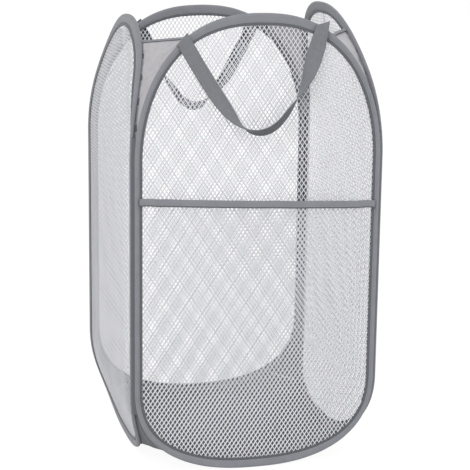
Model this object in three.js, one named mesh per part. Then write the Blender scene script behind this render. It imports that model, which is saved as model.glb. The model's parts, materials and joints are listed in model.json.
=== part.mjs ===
// A pop up laundry hamper: four mesh panels, each held open by a sprung steel hoop in a fabric
// binding, with a cloth floor, cloth corner gussets, a front pocket and two webbing handles.
// Millimetres. +Z is up, the front looks towards -Y, and the origin is on the floor at the centre.
import * as THREE from "three";

// Driving dimensions
const spanX = 336; // between the middle planes of the left and right panels
const spanY = 328; // between the middle planes of the front and back panels
const hoopHeights = { front: 608, right: 612, back: 598, left: 596 }; // soft hoops differ a little
const topArchBase = 418; // where the sides stop being straight
const bottomArchHeight = 119;
const topLeanDepths = { front: 0, right: 40, back: 0, left: 30 }; // how far the tops lean inwards
const bottomLeanDepths = { front: 0, right: 25, back: 0, left: 25 };
const pocketMouthHeight = 367; // at the middle
const pocketMouthSlope = -0.044; // the mouth is sewn a little lower on the right

// Shape of the hoops: powers of the rounded arches, across and up
const topArchShares = { across: 2.37, up: 2.03 };
const bottomArchShares = { across: 2.41, up: 2.32 };
const leanShare = 0.6; // of how far the arch has curved in, until the lean nears its full depth
const leanPower = 2; // how sharply it levels off there
const topArchSteps = 20;
const bottomArchSteps = 14;

// Fabric binding, folded over the wire and the edge of the mesh. It is narrower along the sides.
const bindingSideWidth = 10.5;
const bindingTopWidth = 15.5;
const bindingBottomWidth = 14.5;
const bindingWidthPower = 4;
const bindingThickness = 5;
const bindingWall = 0.9;
const seamGap = 0.5; // between the bindings of neighbouring panels
const tunnelRadius = 1.7;
const slotGap = 0.5; // from the mesh to the inside of the binding, wider because both bend
const fabricGap = 0.3; // clearance between pieces that lie on each other

// Wire and ferrule
const wireRadius = 0.8;
const wireSides = 6;
const wireEndGap = 1;
const ferruleLength = 24;
const ferruleRadius = 1.35;
const ferruleBoreRadius = 1.05;
const ferruleSides = 8;

// Mesh, with large cells that each stand for many small ones
const meshThickness = 0.6;
const meshCellWidth = 66;
const meshCellHeight = 99;
const meshStrand = 4;
const meshEdgeDepth = 5; // from the hoop's outer edge to the edge of the mesh
const meshRimWidth = 2; // solid mesh beyond the lips of the binding
const lineTolerance = 0.001; // nearer than this, a point counts as lying on a line
const smallestCellShare = 0.2; // a cell cut smaller than this by the binding is left out

// Cloth floor and gussets
const floorThickness = 0.8;
const floorFlatShare = 0.8; // how much of the floor lies flat
const floorStartStep = 4; // the step of the bottom arch where the corner gussets take over
const floorEdgeStep = 2; // steps of the arch that each straight length of the floor's edge spans
const borderEndGap = 1; // between the floor's sloping border and the gussets beside it
const gussetThickness = 0.6;
const clothInset = 3.6; // from the hoop's outer edge to where floor and gussets are sewn
const upperGussetSteps = 6;
const hemHeight = 8;
const hemThickness = 1.8;

// Handles
const handleSpacing = 168; // between the two sewn ends
const handleShifts = { front: -10, back: 6 }; // both hang a little towards the left panel
const handleDropHeight = 109; // from the sewn ends to the lowest point
const handleTipRadius = 86;
const handleWidth = 20;
const handleThickness = 1.6;
const handleTwist = THREE.MathUtils.degToRad(-127);
const handleTwistOffset = 15; // the twist sits to one side of the middle
const handleTwistLength = 42;
const handleTwistPower = 3; // how suddenly it sets in
const handleSteps = 24;
const tabLengths = { front: [14.5, 28], back: [16, 16] }; // along the strap, just past the binding's edge
const tabDepthBelowTop = 42; // from the hoop's top to the lower edge of the tabs

// Pocket on the front
const pocketBulgeDepth = 8;
const pocketMouthGap = 1.6; // how far the mouth stands off the binding
const pocketStartHeight = 40; // the pocket lies flat on the mesh below this
const pocketInset = 7; // from the hoop's outer edge to the edge of the pocket
const pocketMouthSteps = 12;
const bandHeight = 9;
const bandThickness = 3;
const bandInset = 6; // from the hoop's outer edge to the ends of the band

// Values worked out from the driving dimensions
const bindingHalf = bindingThickness / 2;
const meshHalf = meshThickness / 2;
const pivotInset = bindingHalf + seamGap / 2; // the fold pivots, inside the middle planes
const edgeInset = pivotInset + seamGap / 2;
const tunnelDepth = bindingWall + tunnelRadius; // from the outer edge to the wire's centre
const slotHalf = meshHalf + slotGap;
const innerFace = bindingHalf + fabricGap; // where the floor and the gussets end
const borderShare = floorFlatShare + fabricGap / (spanY / 2); // where the floor's border starts
const midHeight = (topArchBase + bottomArchHeight) / 2;

// Colours of the real materials
const finishes = {
  binding: new THREE.MeshStandardMaterial({ color: 0x76777b, roughness: 0.9, metalness: 0 }),
  mesh: new THREE.MeshStandardMaterial({ color: 0xe6e7ec, roughness: 0.7, metalness: 0 }),
  wire: new THREE.MeshStandardMaterial({ color: 0x9a9da2, roughness: 0.35, metalness: 1 }),
  ferrule: new THREE.MeshStandardMaterial({ color: 0x8b8d90, roughness: 0.45, metalness: 1 }),
  floorCloth: new THREE.MeshStandardMaterial({ color: 0x6c6e73, roughness: 0.9, metalness: 0 }),
  nylon: new THREE.MeshStandardMaterial({ color: 0xb4b1b4, roughness: 0.5, metalness: 0 }),
  webbing: new THREE.MeshStandardMaterial({ color: 0x7b7c80, roughness: 0.9, metalness: 0 }),
};

const hamper = new THREE.Group();
hamper.name = "pop_up_laundry_hamper";

function addPiece(parent, name, geometry, finish) {
  const piece = new THREE.Mesh(geometry, finish);
  piece.name = name;
  parent.add(piece);
  return piece;
}

// Six times the volume inside a closed skin, negative when its faces point inwards.
function signedVolume(points, triangles) {
  let volume = 0;
  for (let i = 0; i < triangles.length; i += 3) {
    const [a, b, c] = [0, 1, 2].map((k) => points[triangles[i + k]]);
    volume += a.dot(b.clone().cross(c));
  }
  return volume;
}

// Geometry from points and triangles of point numbers, with its faces turned outwards.
function solidFrom(points, triangles) {
  const geometry = new THREE.BufferGeometry();
  geometry.setFromPoints(points);
  geometry.setIndex(signedVolume(points, triangles) < 0 ? triangles.toReversed() : triangles);
  geometry.computeVertexNormals();
  return geometry;
}

// Skin over rings of points that all have the same count. It closes on itself, or gets end caps.
function loft(rings, closed, capFaces = []) {
  const count = rings[0].length;
  const triangles = [];
  const spans = closed ? rings.length : rings.length - 1;
  for (let r = 0; r < spans; r++) {
    const here = r * count;
    const next = ((r + 1) % rings.length) * count;
    for (let k = 0; k < count; k++) {
      const after = (k + 1) % count;
      triangles.push(here + k, here + after, next + after);
      triangles.push(here + k, next + after, next + k);
    }
  }
  if (!closed) {
    const last = (rings.length - 1) * count;
    for (const [a, b, c] of capFaces) {
      triangles.push(c, b, a);
      triangles.push(last + a, last + b, last + c);
    }
  }
  return solidFrom(rings.flat(), triangles);
}

// Triangles that fill a section, as numbers of its points, anticlockwise.
function fillSection(section) {
  const faces = THREE.ShapeUtils.triangulateShape(section, []);
  const [a, b, c] = faces[0].map((i) => section[i]);
  const turn = (b.x - a.x) * (c.y - a.y) - (b.y - a.y) * (c.x - a.x);
  return turn > 0 ? faces : faces.map(([i, j, k]) => [k, j, i]);
}

// Hoop outline

// A point on a rounded arch: how far across from the middle and how far up, for an angle that
// runs from zero at one side to pi at the other.
function archPoint(halfWidth, height, shares, angle) {
  const across = Math.cos(angle);
  const up = Math.max(Math.sin(angle), 0);
  return {
    x: halfWidth * Math.sign(across) * Math.abs(across) ** (2 / shares.across),
    rise: height * up ** (2 / shares.up),
  };
}

// Outer edge of a hoop, anticlockwise as seen from outside, starting at the right side. Each
// station has its place and the inward direction along which an inset is measured.
function hoopStations(halfWidth, height) {
  const outline = [];
  for (let i = 0; i <= topArchSteps; i++) {
    const p = archPoint(halfWidth, height - topArchBase, topArchShares, (i * Math.PI) / topArchSteps);
    outline.push(new THREE.Vector2(p.x, topArchBase + p.rise));
  }
  for (let i = 0; i <= bottomArchSteps; i++) {
    const angle = (i * Math.PI) / bottomArchSteps;
    const p = archPoint(halfWidth, bottomArchHeight, bottomArchShares, angle);
    outline.push(new THREE.Vector2(-p.x, bottomArchHeight - p.rise));
  }
  return outline.map((place, i) => {
    const before = outline[(i + outline.length - 1) % outline.length];
    const after = outline[(i + 1) % outline.length];
    const arriving = place.clone().sub(before).normalize();
    const leaving = after.clone().sub(place).normalize();
    const along = arriving.clone().add(leaving).normalize();
    const stretch = 1 / along.dot(leaving);
    return { place, inward: new THREE.Vector2(-along.y, along.x).multiplyScalar(stretch) };
  });
}

function insetPoint(station, depth) {
  return station.place.clone().addScaledVector(station.inward, depth);
}

// Width of the binding at a station, by how far the hoop there runs across the panel.
function bindingWidthAt(station) {
  const level = station.inward.clone().normalize().y;
  const endWidth = level < 0 ? bindingTopWidth : bindingBottomWidth;
  return bindingSideWidth + (endWidth - bindingSideWidth) * Math.abs(level) ** bindingWidthPower;
}

// How far an arch has curved in from the side, a share of its height above or below the side.
function archInset(halfWidth, climb, shares) {
  const across = (1 - THREE.MathUtils.clamp(climb, 0, 1) ** shares.up) ** (1 / shares.across);
  return halfWidth * (1 - across);
}

// Follows a small value and levels off at a limit.
function levelledOff(value, limit) {
  return limit > 0 ? value / (1 + (value / limit) ** leanPower) ** (1 / leanPower) : 0;
}

// How far a leaning hoop stands in from its upright plane at a height.
function leanAt(panel, height) {
  const overTop = (height - topArchBase) / (panel.height - topArchBase);
  const underBottom = (bottomArchHeight - height) / bottomArchHeight;
  const top = leanShare * archInset(panel.halfWidth, overTop, topArchShares);
  const bottom = leanShare * archInset(panel.halfWidth, underBottom, bottomArchShares);
  return levelledOff(top, panel.topLean) + levelledOff(bottom, panel.bottomLean);
}

// Panels. In a panel's own frame x runs along it, z up, and its outside looks towards -y.

const panels = {
  front: { turn: 0, span: spanX, distance: spanY / 2 },
  right: { turn: 1, span: spanY, distance: spanX / 2 },
  back: { turn: 2, span: spanX, distance: spanY / 2 },
  left: { turn: 3, span: spanY, distance: spanX / 2 },
};
for (const [side, panel] of Object.entries(panels)) {
  panel.height = hoopHeights[side];
  panel.topLean = topLeanDepths[side];
  panel.bottomLean = bottomLeanDepths[side];
  panel.halfWidth = panel.span / 2 - edgeInset;
  panel.stations = hoopStations(panel.halfWidth, panel.height);
  panel.group = new THREE.Group();
  panel.group.name = side + "_panel";
  panel.group.rotation.z = (panel.turn * Math.PI) / 2;
  panel.group.position.set(0, -panel.distance, 0);
  panel.group.position.applyAxisAngle(new THREE.Vector3(0, 0, 1), panel.group.rotation.z);
  hamper.add(panel.group);
}

// A point of a panel: across, up, and how far outside the middle plane.
function onPanel(panel, x, z, outside) {
  return new THREE.Vector3(x, -outside + leanAt(panel, z), z);
}

// The same point in the hamper's frame.
function inHamper(panel, x, z, outside) {
  const p = onPanel(panel, x, z, outside);
  panel.group.updateMatrix();
  return p.applyMatrix4(panel.group.matrix);
}

// Outside of the binding: shares of its width from the outer edge, and of half its thickness.
const bindingOuterShares = [
  [0, 0.56],
  [0.07, 0.92],
  [0.24, 1],
  [0.53, 0.7],
  [1, 0.56],
];


// Section of the binding: depth from the outer edge, and distance out of the middle plane.
function bindingSection(width) {
  const outer = bindingOuterShares.map(([depth, out]) => [depth * width, out * bindingHalf]);
  const slotStart = tunnelDepth + Math.sqrt(tunnelRadius ** 2 - slotHalf ** 2);
  const sixth = Math.PI / 3;
  const inner = [
    [width, slotHalf],
    [slotStart, slotHalf],
    [tunnelDepth, tunnelRadius],
    [tunnelDepth - tunnelRadius * Math.sin(sixth), tunnelRadius * Math.cos(sixth)],
  ];
  const mirrored = (list) => list.map(([depth, out]) => [depth, -out]).reverse();
  return [...mirrored(outer), ...outer, ...inner, ...mirrored(inner)];
}

// The binding's section swept round the whole hoop.
function hoopBinding(panel) {
  const rings = panel.stations.map((station) =>
    bindingSection(bindingWidthAt(station)).map(([depth, out]) => {
      const p = insetPoint(station, depth);
      return onPanel(panel, p.x, p.y, out);
    }),
  );
  return loft(rings, true);
}

// The wire runs from just under the ferrule's middle, round the bottom and over the top.
function hoopWire(panel) {
  const { stations } = panel;
  const side = stations[topArchSteps];
  const end = (height) => ({ place: new THREE.Vector2(side.place.x, height), inward: new THREE.Vector2(1, 0) });
  const path = [
    end(midHeight - wireEndGap / 2),
    ...stations.slice(topArchSteps + 1),
    ...stations.slice(0, topArchSteps + 1),
    end(midHeight + wireEndGap / 2),
  ];
  const corners = [...Array(wireSides).keys()].map((k) => (k * 2 * Math.PI) / wireSides);
  const rings = path.map((station) =>
    corners.map((angle) => {
      const p = insetPoint(station, tunnelDepth + wireRadius * Math.cos(angle));
      return onPanel(panel, p.x, p.y, wireRadius * Math.sin(angle));
    }),
  );
  const section = corners.map((angle) => new THREE.Vector2(Math.cos(angle), Math.sin(angle)));
  return loft(rings, false, fillSection(section));
}

// A crimped sleeve over the two ends of the wire.
function ferrule(panel) {
  const half = ferruleLength / 2;
  const profile = [
    new THREE.Vector2(ferruleBoreRadius, -half),
    new THREE.Vector2(ferruleRadius, -half),
    new THREE.Vector2(ferruleRadius, half),
    new THREE.Vector2(ferruleBoreRadius, half),
    new THREE.Vector2(ferruleBoreRadius, -half),
  ];
  const geometry = new THREE.LatheGeometry(profile, ferruleSides);
  geometry.rotateX(Math.PI / 2);
  geometry.translate(-panel.halfWidth + tunnelDepth, 0, midHeight);
  return geometry;
}

// Mesh cloth

// The part of a convex shape that lies inside another, both anticlockwise.
function clipConvex(shape, boundary) {
  let kept = shape;
  boundary.forEach((from, i) => {
    const edge = boundary[(i + 1) % boundary.length].clone().sub(from);
    const depth = (p) => edge.cross(p.clone().sub(from));
    const next = [];
    kept.forEach((p, k) => {
      const q = kept[(k + 1) % kept.length];
      const here = depth(p);
      const there = depth(q);
      if (here >= 0) next.push(p);
      if (here * there < 0) next.push(p.clone().lerp(q, here / (here - there)));
    });
    kept = next;
  });
  return kept;
}

// The corners of some outlines that lie on the line between two points, in order from the first.
function cornersBetween(outlines, from, to) {
  const along = to.clone().sub(from);
  const length = along.length();
  const shares = outlines
    .flat()
    .filter((p) => Math.abs(along.cross(p.clone().sub(from))) < lineTolerance * length)
    .map((p) => along.dot(p.clone().sub(from)) / length ** 2)
    .filter((share) => share > lineTolerance && share < 1 - lineTolerance)
    .sort((p, q) => p - q);
  const single = shares.filter((share, i) => i === 0 || share - shares[i - 1] > lineTolerance);
  return single.map((share) => from.clone().lerp(to, share));
}

// Rhombic fields in staggered rows that fill a convex boundary, cut where they cross it.
function meshFields(boundary) {
  const rows = 2 * Math.ceil(Math.max(...boundary.map((p) => p.y)) / meshCellHeight);
  const columns = Math.ceil(Math.max(spanX, spanY) / meshCellWidth / 2);
  const fields = [];
  for (let row = 0; row <= rows; row++) {
    for (let column = -columns; column <= columns; column++) {
      const x = (column + (row % 2) / 2) * meshCellWidth;
      const z = (row * meshCellHeight) / 2;
      const rhombus = [
        new THREE.Vector2(x + meshCellWidth / 2, z),
        new THREE.Vector2(x, z + meshCellHeight / 2),
        new THREE.Vector2(x - meshCellWidth / 2, z),
        new THREE.Vector2(x, z - meshCellHeight / 2),
      ];
      const field = clipConvex(rhombus, boundary);
      if (field.length < 3) continue;
      const next = (k) => field[(k + 1) % field.length];
      fields.push(field.flatMap((p, k) => [p, ...cornersBetween([boundary], p, next(k))]));
    }
  }
  return fields;
}

// The hole in a field, which leaves half a strand all round it, or nothing in a small remnant.
function cellIn(field) {
  const side = Math.hypot(meshCellWidth, meshCellHeight);
  const shrink = 1 - (meshStrand * side) / (meshCellWidth * meshCellHeight);
  const fullArea = (meshCellWidth * meshCellHeight) / 2;
  if (THREE.ShapeUtils.area(field) < smallestCellShare * fullArea) return null;
  const middle = field.reduce((sum, p) => sum.add(p), new THREE.Vector2()).divideScalar(field.length);
  return field.map((p) => middle.clone().lerp(p, shrink));
}

// A thin net inside two rings of equally many points: a solid rim between them, and cells
// within the inner one. The last argument places a point of the sheet.
function netSheet(outerRing, innerRing, place) {
  const faces = [];
  const walls = [];
  const fields = meshFields(innerRing);
  outerRing.forEach((corner, k) => {
    const after = (k + 1) % outerRing.length;
    const [from, to] = [innerRing[k], innerRing[after]];
    const rim = [from, ...cornersBetween(fields, from, to), to];
    faces.push([corner, outerRing[after], to]);
    for (let i = 1; i < rim.length; i++) faces.push([corner, rim[i], rim[i - 1]]);
    walls.push([corner, outerRing[after]]);
  });
  for (const field of fields) {
    const cell = cellIn(field);
    field.forEach((p, k) => {
      const after = (k + 1) % field.length;
      if (cell) {
        faces.push([p, field[after], cell[after]], [p, cell[after], cell[k]]);
        walls.push([cell[after], cell[k]]);
      } else if (k > 1) faces.push([field[0], field[k - 1], p]);
    });
  }
  const points = [];
  const put = (p, side) => points.push(place(p.x, p.y, side * meshHalf));
  for (const [a, b, c] of faces) {
    [a, b, c].forEach((p) => put(p, 1));
    [c, b, a].forEach((p) => put(p, -1));
  }
  for (const [a, b] of walls) {
    for (const [p, side] of [[a, 1], [a, -1], [b, -1], [a, 1], [b, -1], [b, 1]]) put(p, side);
  }
  return solidFrom(points, [...points.keys()]);
}

// Where the solid rim of a mesh ends and its cells begin.
function rimPoint(station) {
  return insetPoint(station, bindingWidthAt(station) + meshRimWidth);
}

function panelMesh(panel) {
  const outerRing = panel.stations.map((station) => insetPoint(station, meshEdgeDepth));
  const innerRing = panel.stations.map(rimPoint);
  return netSheet(outerRing, innerRing, (x, z, out) => onPanel(panel, x, z, out));
}

for (const [side, panel] of Object.entries(panels)) {
  addPiece(panel.group, side + "_binding", hoopBinding(panel), finishes.binding);
  addPiece(panel.group, side + "_hoop_wire", hoopWire(panel), finishes.wire);
  addPiece(panel.group, side + "_wire_ferrule", ferrule(panel), finishes.ferrule);
  addPiece(panel.group, side + "_mesh", panelMesh(panel), finishes.mesh);
}

// Cloth between neighbouring hoops

// Where cloth is sewn inside a panel's binding. The end of the panel is 1 towards its own +x.
function sewnPoint(panel, end, point, alongShift) {
  return inHamper(panel, end * (point.x + alongShift), point.y, -innerFace);
}

// Sections of a strip of cloth across one corner, straight from panel to panel at each level. A
// panel's +x end meets the -x end of the next panel. The first two points are on the outside.
function cornerRings(panel, next, levels, thickness) {
  const shift = thickness * Math.SQRT1_2;
  return levels.map((level) => {
    const here = level(panel);
    const there = level(next);
    return [
      sewnPoint(panel, 1, here, shift),
      sewnPoint(next, -1, there, shift),
      sewnPoint(next, -1, there, -shift),
      sewnPoint(panel, 1, here, -shift),
    ];
  });
}

// A section of corner cloth brought down to the edge of the flat floor, its outside below.
function onFloor(ring) {
  return ring.map((p, k) => new THREE.Vector3(p.x * borderShare, p.y * borderShare, k < 2 ? fabricGap : floorThickness));
}

const squareCap = [[0, 1, 2], [0, 2, 3]];

// Point on the +x half of a hoop where cloth is sewn, at a step of an arch.
function topLevel(step) {
  return (panel) => insetPoint(panel.stations[step], clothInset);
}
function bottomLevel(step) {
  return (panel) => insetPoint(panel.stations[panel.stations.length - 1 - step], clothInset);
}

// The same, a little way up from a level.
function raised(level, rise, towards) {
  return (panel) => {
    const from = level(panel);
    const to = towards(panel);
    return from.clone().lerp(to, rise / (to.y - from.y));
  };
}

const corners = [
  ["front_right", panels.front, panels.right],
  ["back_right", panels.right, panels.back],
  ["back_left", panels.back, panels.left],
  ["front_left", panels.left, panels.front],
];
for (const [corner, panel, next] of corners) {
  const lowerLevels = [];
  for (let step = 1; step <= floorStartStep; step++) lowerLevels.unshift(bottomLevel(step));
  const floorEdge = bottomLevel(floorStartStep);
  const lowerRings = cornerRings(panel, next, lowerLevels, gussetThickness);
  lowerRings.unshift(onFloor(cornerRings(panel, next, [floorEdge], gussetThickness)[0]));
  addPiece(hamper, "lower_gusset_" + corner, loft(lowerRings, false, squareCap), finishes.floorCloth);

  const upperLevels = [];
  for (let step = 1; step <= upperGussetSteps; step++) upperLevels.push(topLevel(step));
  const upperRings = cornerRings(panel, next, upperLevels, gussetThickness);
  addPiece(hamper, "upper_gusset_" + corner, loft(upperRings, false, squareCap), finishes.nylon);

  const hemFoot = topLevel(upperGussetSteps);
  const beyond = topLevel(upperGussetSteps + 1);
  const hemLevels = [raised(hemFoot, fabricGap, beyond), raised(hemFoot, fabricGap + hemHeight, beyond)];
  const hemRings = cornerRings(panel, next, hemLevels, hemThickness);
  addPiece(hamper, "gusset_hem_" + corner, loft(hemRings, false, squareCap), finishes.binding);
}

// The floor lies flat on the ground in the middle, and its border rises to the four hoops.
const floorEdges = Object.entries(panels).map(([side, panel]) => {
  const edge = [];
  const lowest = bottomLevel(bottomArchSteps / 2)(panel);
  for (let step = bottomArchSteps - floorStartStep; step >= floorStartStep; step -= floorEdgeStep) {
    const p = bottomLevel(step)(panel);
    edge.push(inHamper(panel, p.x, lowest.y, -innerFace).setZ(p.y));
  }
  return [side, edge];
});

function floorPanel() {
  const outline = floorEdges.flatMap(([, edge]) => edge);
  const shape = new THREE.Shape(outline.map((p) => new THREE.Vector2(p.x * floorFlatShare, p.y * floorFlatShare)));
  return new THREE.ExtrudeGeometry(shape, { depth: floorThickness, bevelEnabled: false });
}

// Moves the start of a line of points along it.
function startMoved(line, length) {
  const [first, second, ...rest] = line;
  const start = first.clone().lerp(second, length / first.distanceTo(second));
  return [start, second, ...rest];
}

function floorBorder(edge) {
  const half = floorThickness / 2;
  const shortEdge = startMoved(startMoved(edge, borderEndGap).reverse(), borderEndGap);
  const at = (p, share, z) => new THREE.Vector3(p.x * share, p.y * share, z);
  const rings = shortEdge.map((p) => [
    at(p, 1, p.z - half),
    at(p, 1, p.z + half),
    at(p, borderShare, fabricGap + floorThickness),
    at(p, borderShare, fabricGap),
  ]);
  return loft(rings, false, squareCap);
}

addPiece(hamper, "floor_panel", floorPanel(), finishes.floorCloth);
for (const [side, edge] of floorEdges) {
  const lengthways = panels[side].turn % 2 === 1;
  const border = floorBorder(lengthways ? edge.toReversed() : edge);
  addPiece(hamper, "floor_border_" + side, border, finishes.floorCloth);
}

// Handles

const tabFace = bindingHalf + fabricGap; // back of the tabs, outside the binding
const handleAxisOut = tabFace + handleThickness + fabricGap / 2; // the free loop turns about this line
const handleReach = handleSpacing / 2;
const handleSteepness = Math.sqrt((handleDropHeight + handleTipRadius) ** 2 - handleTipRadius ** 2) / handleReach;

// Height of the hanging loop under its ends, and how steep it is, at a place across.
function handleFall(x) {
  return Math.hypot(x * handleSteepness, handleTipRadius) - handleDropHeight - handleTipRadius;
}
function handleSlope(x) {
  return (x * handleSteepness ** 2) / Math.hypot(x * handleSteepness, handleTipRadius);
}

// The strap hangs in a rounded V and turns over on itself near its lowest point.
function handleLoop(panel) {
  const axisHeight = panel.height - tabDepthBelowTop;
  const rings = [];
  for (let i = 0; i <= handleSteps; i++) {
    const share = (2 * i) / handleSteps - 1;
    const x = share * handleReach;
    const slope = handleSlope(x);
    const along = new THREE.Vector3(1, 0, slope).normalize();
    const inPlane = new THREE.Vector3(-slope, 0, 1).normalize();
    const outside = new THREE.Vector3(0, -1, 0);
    const away = Math.abs(x - handleTwistOffset) / handleTwistLength;
    const twist = handleTwist * Math.exp(-(away ** handleTwistPower));
    const across = inPlane.clone().applyAxisAngle(along, twist);
    const normal = outside.clone().applyAxisAngle(along, twist);
    const standOff = tabFace + handleThickness / 2 + (handleWidth / 2) * Math.abs(Math.sin(twist));
    const centre = new THREE.Vector3(x, -standOff, axisHeight + handleFall(x));
    const corner = (a, n) =>
      centre
        .clone()
        .addScaledVector(across, (a * handleWidth) / 2)
        .addScaledVector(normal, (n * handleThickness) / 2);
    rings.push([corner(1, 1), corner(-1, 1), corner(-1, -1), corner(1, -1)]);
  }
  // The two ends are cut level, just under the tabs.
  const level = axisHeight - fabricGap;
  for (const [end, inner] of [[0, 1], [handleSteps, handleSteps - 1]]) {
    rings[end] = rings[end].map((p, k) => {
      const from = rings[inner][k];
      return from.clone().lerp(p, (level - from.z) / (p.z - from.z));
    });
  }
  return loft(rings, false, squareCap);
}

// The end of the strap, sewn on over the binding. It is cut level below and square at its end.
// The side is 1 for the +x one.
function handleTab(panel, side, length) {
  const along = new THREE.Vector2(1, handleSlope(handleReach)).normalize();
  const half = handleWidth / 2;
  const foot = new THREE.Vector2(handleReach, 0);
  const end = foot.clone().addScaledVector(along, length);
  const corners = [
    new THREE.Vector2(foot.x - half / along.y, 0),
    new THREE.Vector2(foot.x + half / along.y, 0),
    new THREE.Vector2(end.x + half * along.y, end.y - half * along.x),
    new THREE.Vector2(end.x - half * along.y, end.y + half * along.x),
  ];
  const shape = new THREE.Shape(corners.map((p) => new THREE.Vector2(side * p.x, p.y)));
  const geometry = new THREE.ExtrudeGeometry(shape, { depth: handleThickness, bevelEnabled: false });
  geometry.rotateX(Math.PI / 2);
  geometry.translate(0, -tabFace, panel.height - tabDepthBelowTop + fabricGap);
  return geometry;
}

for (const side of ["front", "back"]) {
  const panel = panels[side];
  const [first, second] = tabLengths[side];
  const strap = [
    ["_handle", handleLoop(panel)],
    ["_handle_tab_a", handleTab(panel, -1, first)],
    ["_handle_tab_b", handleTab(panel, 1, second)],
  ];
  for (const [name, geometry] of strap) {
    geometry.translate(handleShifts[side], 0, 0);
    addPiece(panel.group, side + name, geometry, finishes.webbing);
  }
}

// Pocket

const pocketHalf = panels.front.halfWidth - pocketInset;

function pocketMouthAt(x) {
  return pocketMouthHeight + pocketMouthSlope * x;
}

// How far the pocket's middle plane stands outside the front panel's.
function pocketOut(x, z) {
  const full = pocketMouthAt(x) - bandHeight - bandThickness;
  const open = THREE.MathUtils.clamp((z - pocketStartHeight) / (full - pocketStartHeight), 0, 1);
  const across = Math.max(0, 1 - (x / pocketHalf) ** 2);
  const sewn = bindingOuterShares[3][1] * bindingHalf + fabricGap + meshHalf;
  return sewn + open * (pocketMouthGap + pocketBulgeDepth * across);
}

function pocketMesh() {
  const { front } = panels;
  const bottom = front.stations.slice(topArchSteps + 1);
  const ringAt = (place, half, drop) => {
    const ring = bottom.map(place);
    for (let i = 0; i <= pocketMouthSteps; i++) {
      const x = half * (1 - (2 * i) / pocketMouthSteps);
      ring.push(new THREE.Vector2(x, pocketMouthAt(x) - drop));
    }
    return ring;
  };
  const rimHalf = front.halfWidth - bindingSideWidth - meshRimWidth;
  const outerRing = ringAt((station) => insetPoint(station, pocketInset), pocketHalf, 0);
  const innerRing = ringAt(rimPoint, rimHalf, bandHeight + bandThickness);
  return netSheet(outerRing, innerRing, (x, z, out) => onPanel(front, x, z, pocketOut(x, z) + out));
}

// A tape folded over the pocket's top edge.
function pocketBand() {
  const { front } = panels;
  const half = front.halfWidth - bandInset;
  const outer = bandThickness / 2;
  const top = fabricGap;
  const foot = -bandHeight;
  const section = [
    new THREE.Vector2(foot, slotHalf),
    new THREE.Vector2(top, slotHalf),
    new THREE.Vector2(top, -slotHalf),
    new THREE.Vector2(foot, -slotHalf),
    new THREE.Vector2(foot, -outer),
    new THREE.Vector2(top + bindingWall, -outer),
    new THREE.Vector2(top + bindingWall, outer),
    new THREE.Vector2(foot, outer),
  ];
  const places = [...Array(pocketMouthSteps + 1).keys()].map((i) => pocketHalf * ((2 * i) / pocketMouthSteps - 1));
  const rings = [-half, ...places, half].map((x) => {
    const mouth = pocketMouthAt(x);
    const out = pocketOut(x, mouth);
    return section.map((p) => onPanel(front, x, mouth + p.x, out + p.y));
  });
  return loft(rings, false, fillSection(section));
}
addPiece(panels.front.group, "pocket_mesh", pocketMesh(), finishes.mesh);
addPiece(panels.front.group, "pocket_edge_band", pocketBand(), finishes.binding);

export default hamper;
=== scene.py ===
"""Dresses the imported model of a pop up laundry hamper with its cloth, nets, tapes and stitching.

Lengths are in metres unless a name ends in _mm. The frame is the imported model's: +Z up, the front
panel towards -Y, the origin on the floor at the centre.
"""

from __future__ import annotations

import json
import logging
import math
from dataclasses import dataclass
from enum import Enum
from typing import Callable

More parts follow.
